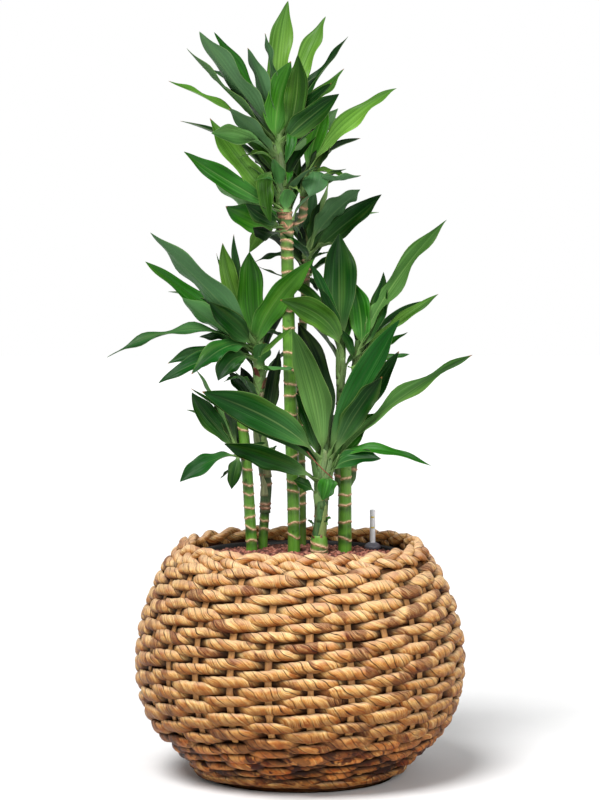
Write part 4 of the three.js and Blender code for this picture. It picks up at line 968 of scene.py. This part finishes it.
def scrap(surface, stem, rng, height, degrees, length, width, lean, tone):
    """A dry torn bit of an old sheath, standing off the stem."""
    rows, columns = 9, 5
    t = np.linspace(0, 1, rows)[:, None]
    s = np.linspace(-1, 1, columns)[None]
    angle = math.radians(degrees) + s * width / 2 / (stem.radius(height) + 1) * (1 - 0.8 * t)
    out = stem.radius(height) + 0.9 + lean * length * t ** 1.6 + 0.6 * np.sin(5 * t + rng.uniform(0, 6)) * s
    base = stem.at(height + length * t[:, 0] * (1 - 0.3 * lean))[:, None]
    ragged = rng.uniform(-0.06, 0.06, (rows, columns)) * length * t
    inner, outer = (base + polar(out + offset, angle, ragged) for offset in (-0.25, 0.25))
    around = np.linspace(0, 0.3, 2 * columns + 1)
    surface.rings(np.concatenate([inner[:, ::-1], outer], 1), t * length / 100, around, tone=rgb(*tone),
                  scar=0.0, shadow=0.0)


def dry_edge(surface, path, radius, tone):
    """A thin dry edge of a sheath along a few points."""
    path = np.asarray(path, float)
    t = np.linspace(0, len(path) - 1, 24)
    centres = np.stack([np.interp(t, range(len(path)), path[:, i]) for i in range(3)], -1)
    angle = circle(6)[None, :, None]
    across = unit(np.cross(np.gradient(centres, axis=0), (0, 1, 0)))
    ring = np.cos(angle) * across[:, None] + np.sin(angle) * np.array([0, 1, 0])
    surface.rings(centres[:, None] + radius * ring, t, tone=rgb(*tone), scar=0.0, shadow=0.0)


def shoot_piece(name, index, path, tone, root, scars, hidden, heart, leaves, scraps=(), edge=None):
    """Two objects: the leaves, which stand for the shoot's node, and the stem with its dry scraps."""
    seed = SEED["shoot"] + index
    rng = np.random.default_rng(seed)
    stem = Stem(path)
    rows = [table_row(*row) for row in leaves]
    rows += zip(hidden_rows(stem, SEED["hidden"] + index, *hidden), itertools.cycle(HIDDEN_TONES))
    rows += zip(heart_rows(stem, rng, *heart), itertools.cycle(HEART_TONES))
    crown = Surface()
    downward = sorted(range(len(rows)), key=lambda i: -rows[i][0][0])
    for rank, i in enumerate(downward):
        own = np.random.default_rng(1000 * seed + i)
        row, shade = rows[i]
        leaf(crown, stem, row, varied(shade, own), 1.5 * rank / max(1, len(rows) - 1), own)
    place(crown.build(name.replace("shoot", "leaves"), LEAF), "leaf_green", name)

    wood = Surface()
    wander = 2.4 if name == "shoot_c_top" else 0.8
    rod(wood, stem, stem.low - root, stem.high, scars, rng, tone, scar_width=1.9, ridge=1.0, wander=wander)
    if edge:
        dry_edge(wood, *edge)
    for bit in scraps:
        scrap(wood, stem, rng, *bit)
    place(wood.build(name.replace("shoot", "stem"), STEM), "leaf_green")


# ---------- basket ----------

def spline(points, samples=600):
    """A Catmull-Rom curve through the points, as part.mjs draws the envelope."""
    p = np.asarray(points, float)
    p = np.concatenate([[2 * p[0] - p[1]], p, [2 * p[-1] - p[-2]]])
    t = np.linspace(0, len(points) - 1, samples)
    i = np.minimum(t.astype(int), len(points) - 2)
    f = (t - i)[:, None]
    a, b, c, d = p[i], p[i + 1], p[i + 2], p[i + 3]
    square, cube = 2 * a - 5 * b + 4 * c - d, 3 * b - a - 3 * c + d
    return 0.5 * (2 * b + (c - a) * f + square * f ** 2 + cube * f ** 3)


ENVELOPE = spline(WALL)
ARC = run_of(ENVELOPE)


def outline_at(arc):
    """Height and radius at a length along the wall's outline."""
    return [np.interp(arc, ARC, column) for column in ENVELOPE.T]


def on_wall(arc, reach=2):
    """Height and radius there, and the radius and height parts of the outward normal."""
    z, radius = outline_at(arc)
    (z_above, radius_above), (z_below, radius_below) = outline_at(arc + reach), outline_at(arc - reach)
    dz, dr = z_above - z_below, radius_above - radius_below
    size = np.hypot(dz, dr)
    return z, radius, dz / size, -dr / size


def up_to(height):
    """The length along the wall's outline at a height."""
    return np.interp(height, ENVELOPE[:, 0], ARC)


def drawn(rng, count, every, low, high):
    """Values that wander between random ones drawn at every so many rows."""
    knots = np.arange(0, count + every, every)
    return np.interp(np.arange(count), knots, rng.uniform(low, high, len(knots)))


def row_pitch(z):
    """The height of one row of the weft, smaller at the foot."""
    return 8.8 + 3.5 * smooth((z - 40) / 50)


def spiral(step=3.5, first=5.0, top=300):
    """The weft's way up: lengths along the outline, and angles, at each step in mm round the basket."""
    arcs, angles = [], []
    arc, angle = first, 0.0
    end = up_to(top)
    while arc < end:
        arcs.append(arc)
        angles.append(angle)
        z, radius, _, _ = on_wall(arc)
        turn = step / radius
        arc += row_pitch(z) * turn / (2 * math.pi)
        angle += turn
    return np.array(arcs), np.array(angles)


def weft():
    """One strand in a spiral, over a stake and behind the next, in rows that tighten towards the foot."""
    rng = np.random.default_rng(SEED["weft"])
    arcs, angles = spiral()
    count = len(arcs)
    level = on_wall(arcs)[0]
    phase = STAKES / 2 * angles
    rise = drawn(rng, count, 31, -0.3, 2.0) * np.sin(phase)
    rough = 1 + 1.2 * smooth((90 - level) / 40)
    z, radius, out_r, out_z = on_wall(arcs + rise + rough * drawn(rng, count, 23, -1.9, 1.9))
    ends = smooth((z - 5) / 12)
    weave = ends * np.cos(phase) + 0.7 * (1 - ends)
    low = smooth((104 - z) / 64) * ends
    girth = drawn(rng, count, 31, 0.82, 1.17) * drawn(rng, count, 8, 0.96, 1.05)
    girth = girth * (1 + low * drawn(rng, count, 11, -0.3, 0.3))
    # tall and deep are the strand's half-sizes, and sunk is how far its middle lies inside the outline.
    tall = row_pitch(level) * (0.6 + 0.085 * weave) * girth
    deep = (4.2 + 1.1 * weave) * girth
    sunk = 5.2 + 8.8 * (0.5 - 0.5 * weave) ** 3.3 + drawn(rng, count, 31, -0.4, 1.2)
    sunk = sunk + low * drawn(rng, count, 14, 0, 3.4)
    centre_r, centre_z = radius - sunk * out_r, z - sunk * out_z
    length = np.concatenate([[0], np.cumsum(np.hypot(np.diff(angles) * centre_r[1:], np.diff(centre_z)))])
    sides = 12
    a = math.pi - circle(sides)[None]
    lap = length[:, None] / STRAND_LAP * 2 * math.pi
    # The strand's cross-section is creased where its leaf laps over itself.
    crease = 1 + 0.05 * np.cos(3 * a + lap) + 0.04 * np.cos(2 * a + 0.43 * lap + 1)
    crease = crease + rng.normal(0, 0.014, (count, sides))
    along_wall = tall[:, None] * np.sin(a) * crease
    off_wall = deep[:, None] * np.sign(np.cos(a)) * np.abs(np.cos(a)) ** 0.85 * crease
    r = centre_r[:, None] + off_wall * out_r[:, None] - along_wall * out_z[:, None]
    h = centre_z[:, None] + off_wall * out_z[:, None] + along_wall * out_r[:, None]
    points = polar(r, angles[:, None], np.maximum(h, 0.4))
    low = low[:, None]
    # depth: painted shade on the parts of the strand that lie deep inside the weave.
    depth = smooth((sunk[:, None] - off_wall - 3.0 + 1.6 * low) / (8.0 - 3.0 * low))
    middle = count // 2
    for name, part, nodes in (("weft_lower", slice(0, middle + 1), ("basket_wall",)),
                              ("weft_upper", slice(middle, count), ())):
        surface = Surface()
        surface.rings(points[part], length[part] / 1000, depth=depth[part], low=low[part])
        place(surface.build(name, WEAVE), "woven_rope", *nodes)


def stakes():
    """Flat upright strips that the weft passes, each with some slack of its own; a few are doubled."""
    rng = np.random.default_rng(SEED["stakes"])
    surface = Surface()
    arc = np.linspace(3, up_to(303), 64)
    z, radius, out_r, out_z = (part[:, None] for part in on_wall(arc))
    arc = arc[:, None]
    a = circle(8)[None]
    half_wide, half_thick, middle, slack = 5.4, 1.35, 10.7, 7
    for k in range(STAKES):
        strands = ((0, 1.0),) if rng.random() < 0.84 else ((-3.5, 0.62), (3.6, 0.6))
        for shift, share in strands:
            wander = shift + 1.2 * np.sin(arc / rng.uniform(28, 60) + rng.uniform(0, 6))
            lean = rng.uniform(-slack, slack) * smooth((z - 278) / 24)
            half = half_wide * share * (1 - 0.25 * smooth((70 - z) / 60)) * (1 + 0.06 * np.sin(arc / 17 + k))
            over = 0.5 + 0.5 * np.cos(math.pi * (arc / 11.2) + k)
            sunk = middle + 1.1 * (over - 0.5) - half_thick * np.sin(a)
            side = wander + lean + half * np.cos(a)
            angle = 2 * math.pi * k / STAKES + side / radius
            points = polar(radius - sunk * out_r, angle, np.maximum(z - sunk * out_z, 0.3))
            surface.rings(points[:, ::-1], arc / 100 + rng.uniform(0, 9))
    place(surface.build("basket_stakes", STAKE), "woven_rope")


def lining():
    """The inner side of the weave and the base that the liner stands on."""
    outside, inside, base = 15.2, 17.6, 12
    outer = np.array([[r - outside, z] for z, r in ENVELOPE[::12] if z < 290])
    inner = np.array([[r - inside, max(z, base)] for z, r in ENVELOPE[::12] if z < 285])[::-1]
    collar = [[169.5, 294], [166.5, 300], [165, 306], [158.5, 307], [157, 300], [162, 292]]
    outline = np.concatenate([[[0.5, 0]], [[128, 0]], outer, collar, inner, [[0.5, base]]])
    surface = Surface()
    # Painted shade: the lining is darkened most of the way to black, as it lies in the weave's shade.
    lathe(surface, outline, 72, depth=0.8, low=0.5)
    place(surface.build("basket_lining", WEAVE), "woven_rope")


def rim():
    """A flat plait of three wide strands, its face turned up and out."""
    periods, steps, sides = 8, 620, 16
    radius, level, highest, lap_length = 161.5, 306.5, 326.8, 12.5
    swing, dip, half_thick, half_wide = 9.2, 4.4, 4.8, 6.8
    tilt = math.radians(38)
    base = 2 * np.pi * np.arange(steps + 1) / steps
    a = math.pi + circle(sides)[None]
    surface = Surface()
    for strand in range(3):
        t = periods * base + 2 * math.pi * strand / 3
        x, y = swing * np.sin(t), dip * np.sin(2 * t)
        wander = 0.8 * np.sin(3 * base + strand) + 0.6 * np.sin(7 * base)
        centres = polar(radius - x * math.sin(tilt) + y * math.cos(tilt), base,
                        level + wander + x * math.cos(tilt) + y * math.sin(tilt))
        ahead = unit(np.gradient(centres, axis=0))
        face = math.cos(tilt) * polar(1, base, 0) + math.sin(tilt) * np.array([0, 0, 1])
        face = square_to(face, ahead)
        wide = np.cross(ahead, face)
        length = run_of(centres)[:, None]
        lap = length / lap_length * 2 * math.pi
        girth = 1 + 0.05 * np.cos(3 * a - lap)
        girth = girth + 0.06 * np.sin(2 * math.pi * length / length[-1] * 11 + strand)
        points = centres[:, None] + (half_thick * girth * np.cos(a))[..., None] * face[:, None]
        points = points + (half_wide * girth * np.sin(a))[..., None] * wide[:, None]
        points[..., 2] = np.minimum(points[..., 2], highest)
        points[-1] = points[0]
        surface.rings(points, length / 1000 + strand, caps=False, depth=0.0, low=0.0)
    place(surface.build("basket_plait", PLAIT), "plaited_rope", "basket_rim")


# ---------- liner, granules, gauge ----------

def liner():
    """The black pot inside the basket, with a rolled lip."""
    outline = [[0.4, 12.3], [118, 12.3], [130, 26.3], [141, 70.3], [141, 291], [146, 292.5], [146, 300.5],
               [143.5, 302], [139.4, 301.4], [138, 296], [138, 70.3], [127, 26.3], [115, 15.3], [0.4, 15.3]]
    turned("liner_shell", LINER, "black_plastic", "liner_pot", outline, 2.2, 128)


def icosahedron():
    """The corners and the faces of the regular solid with 20 faces."""
    phi = (1 + 5 ** 0.5) / 2
    corners = [(-1, phi, 0), (1, phi, 0), (-1, -phi, 0), (1, -phi, 0), (0, -1, phi), (0, 1, phi),
               (0, -1, -phi), (0, 1, -phi), (phi, 0, -1), (phi, 0, 1), (-phi, 0, -1), (-phi, 0, 1)]
    faces = [(0, 11, 5), (0, 5, 1), (0, 1, 7), (0, 7, 10), (0, 10, 11), (1, 5, 9), (5, 11, 4), (11, 10, 2),
             (10, 7, 6), (7, 1, 8), (3, 9, 4), (3, 4, 2), (3, 2, 6), (3, 6, 8), (3, 8, 9), (4, 9, 5),
             (2, 4, 11), (6, 2, 10), (8, 6, 7), (9, 8, 1)]
    return unit(corners), np.array(faces)


def granules():
    """Clay granules heaped over the fill: a jittered round lump each."""
    rng = np.random.default_rng(SEED["granules"])
    ball, faces = icosahedron()
    spacing, row_share, jitter, room, heap_radius, heap_height = 5.7, 0.866, 1.4, 2.4, 133.5, 6
    shades = [rgb(*shade) for shade in ((192, 122, 102), (160, 94, 76), (212, 146, 124), (126, 72, 60),
                                        (178, 116, 102), (104, 60, 50))]
    standing = [(*cane["path"][1][:2], cane["radius"] + 1.5) for cane in CANES.values()] + [(*GAUGE, 12)]
    surface = Surface()
    for row in range(-27, 28):
        for column in range(-25, 26):
            x = (column + 0.5 * (row % 2)) * spacing + rng.uniform(-jitter, jitter)
            y = row * spacing * row_share + rng.uniform(-jitter, jitter)
            size = rng.uniform(2.3, 3.3) * np.array([1, rng.uniform(0.8, 1), rng.uniform(0.7, 1)])
            spin, lift = rng.uniform(0, 6.28), rng.uniform(-1.4, 1.8)
            shade = shades[rng.integers(len(shades))]
            lump = ball * rng.normal(1.06, 0.06, (len(ball), 1)) * size
            far = math.hypot(x, y)
            if far > heap_radius or any(math.hypot(x - cx, y - cy) < cr + room for cx, cy, cr in standing):
                continue
            sin, cos = math.sin(spin), math.cos(spin)
            lump = lump @ np.array([[cos, -sin, 0], [sin, cos, 0], [0, 0, 1]]).T
            height = FILL_EDGE + heap_height * (1 - (far / LINER_RADIUS) ** 2) + lift
            surface.add(lump + (x, y, height), faces + surface.count, np.zeros((faces.size, 2)),
                        {"tone": np.tile(shade, (len(ball), 1))})
    place(surface.build("loose_granules", GRANULE), "clay_granules")
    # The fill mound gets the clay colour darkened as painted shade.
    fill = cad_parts["granules"]
    fill.data.materials.clear()
    fill.data.materials.append(FILL)


def gauge():
    """A grey housing with a dome foot, a clear sight tube with two marks, and the red float pin."""
    centre, ground = (*GAUGE, 0), GAUGE_GROUND
    housing = [[2, 90], [9, 90], [9, ground + 1], [11.2, ground + 1.6], [11.5, ground + 4.6],
               [9.2, ground + 7.8], [5.4, ground + 9.8], [4.2, ground + 10], [4.2, ground + 4],
               [7, ground + 1], [7, 92], [2, 92]]
    turned("gauge_foot", HOUSING, "grey_plastic", "gauge_housing", housing, 1.6, 40, centre)
    tube = [[2.6, 301.3], [3.85, 301.3], [3.85, 351.4], [3.1, 352], [0.3, 352], [0.3, 350.5], [2.6, 350.2],
            [2.6, 301.5]]
    turned("gauge_tube", CLEAR, "clear_plastic", "gauge_sight_tube", tube, 0.5, 32, centre)
    marks = Surface()
    turn = np.radians(np.linspace(232, 308, 10))
    tube_radius, mark_thick = 3.86, 0.12
    for level in (342, 327.6):
        ring = [polar(tube_radius + mark_thick * out, turn, level + up)
                for out, up in ((0, -1), (1, -1), (1, 1), (0, 1))]
        marks.rings(np.stack(ring, 1)[::-1] + centre, np.linspace(0, 1, len(turn)))
    place(marks.build("gauge_marks", YELLOW), "clear_plastic")
    pin = [[0.3, 92.3], [6, 92.3], [6, 152.3], [1.6, 154.3], [1.6, 314.2], [0.3, 315]]
    turned("gauge_pin", RED, "red_plastic", "gauge_float", pin, 0.8, 24, centre)


# ---------- the dressed part ----------

LEAF = leaf_paint()
STEM = stem_paint()
CANE = cane_paint()
# The last number is the share of painted shade on downward faces.
WEAVE = rope_paint("woven_leaf", rgb(255, 230, 164), rgb(104, 44, 2), rgb(132, 80, 68), 0.9, 0.9)
PLAIT = rope_paint("plaited_leaf", rgb(252, 226, 170), rgb(124, 66, 16), rgb(164, 110, 84), 0.6, 0.3)
STAKE = stake_paint()
GRANULE = granule_paint()
# The fill shows only between the granules, so its clay colour is darkened as painted shade.
FILL = plain_paint("clay_fill_in_shade", rgb(52, 28, 24), rgb(78, 44, 36), 180, 0.85, 0.95, 0.002)
LINER = plain_paint("moulded_black", rgb(20, 20, 21), rgb(30, 30, 31), 30, 0.38, 0.55, 0.0004)
HOUSING = plain_paint("moulded_grey", rgb(80, 78, 88), rgb(106, 104, 114), 60, 0.28, 0.4, 0.0003)
CLEAR = plain_paint("clear_tube", rgb(240, 241, 245), rgb(250, 250, 252), 60, 0.12, 0.2, 0.0001,
                    Transmission_Weight=0.25, IOR=1.12)
YELLOW = plain_paint("yellow_mark", rgb(214, 190, 60), rgb(226, 204, 80), 90, 0.4, 0.5, 0.0001)
RED = plain_paint("red_pin", rgb(196, 40, 30), rgb(214, 54, 38), 90, 0.35, 0.45, 0.0002)
FLOOR = plain_paint("pale_floor", rgb(240, 240, 240), rgb(244, 244, 244), 2, 0.6, 0.8, 0.0001)

for make in (weft, stakes, lining, rim, liner, granules, gauge):
    make()
for index, (name, cane) in enumerate(CANES.items()):
    cane_piece(name, index, **cane)
for index, (name, shoot) in enumerate(SHOOTS.items()):
    shoot_piece(name, index, **shoot)


# ---------- floor, light, camera ----------

def floor():
    """A pale floor in metres, wide enough for every view."""
    mesh = bpy.data.meshes.new("floor")
    mesh.from_pydata([(-9, -7, 0), (9, -7, 0), (9, 9, 0), (-9, 9, 0)], [], [(0, 1, 2, 3)])
    mesh.materials.append(FLOOR)
    ground = bpy.data.objects.new("floor", mesh)
    bpy.context.scene.collection.objects.link(ground)


def surroundings(lighting=0.38):
    """A white world that lights the part less than the camera sees it."""
    world = bpy.data.worlds.new("studio")
    world.use_nodes = True
    nodes, links = world.node_tree.nodes, world.node_tree.links
    background = nodes["Background"]
    background.inputs["Color"].default_value = (1, 1, 1, 1)
    path, level = nodes.new("ShaderNodeLightPath"), nodes.new("ShaderNodeMapRange")
    level.inputs["To Min"].default_value = lighting
    links.new(path.outputs["Is Camera Ray"], level.inputs["Value"])
    links.new(level.outputs["Result"], background.inputs["Strength"])
    bpy.context.scene.world = world


def sun(name, power, spread, elevation, azimuth):
    """A sun lamp; the spread of its light, its elevation and azimuth are in degrees."""
    light = bpy.data.lights.new(name, "SUN")
    light.energy, light.angle = power, math.radians(spread)
    lamp = bpy.data.objects.new(name, light)
    lamp.rotation_euler = (math.radians(90 - elevation), 0, math.radians(azimuth))
    bpy.context.scene.collection.objects.link(lamp)


def camera(location=(0, -4.0, 0.82), down=4.44, lens=134.0, sensor=36):
    """A camera, placed in metres, that looks along +Y and down by so many degrees."""
    eye = bpy.data.objects.new("camera", bpy.data.cameras.new("camera"))
    eye.data.lens, eye.data.sensor_width = lens, sensor
    eye.location = location
    eye.rotation_euler = (math.radians(90 - down), 0, 0)
    bpy.context.scene.collection.objects.link(eye)
    bpy.context.scene.camera = eye


bpy.context.scene.view_settings.view_transform = "Standard"
floor()
surroundings()
sun("key", 3.4, 26, 56, -30)
sun("front", 1.35, 40, 20, 30)
camera()
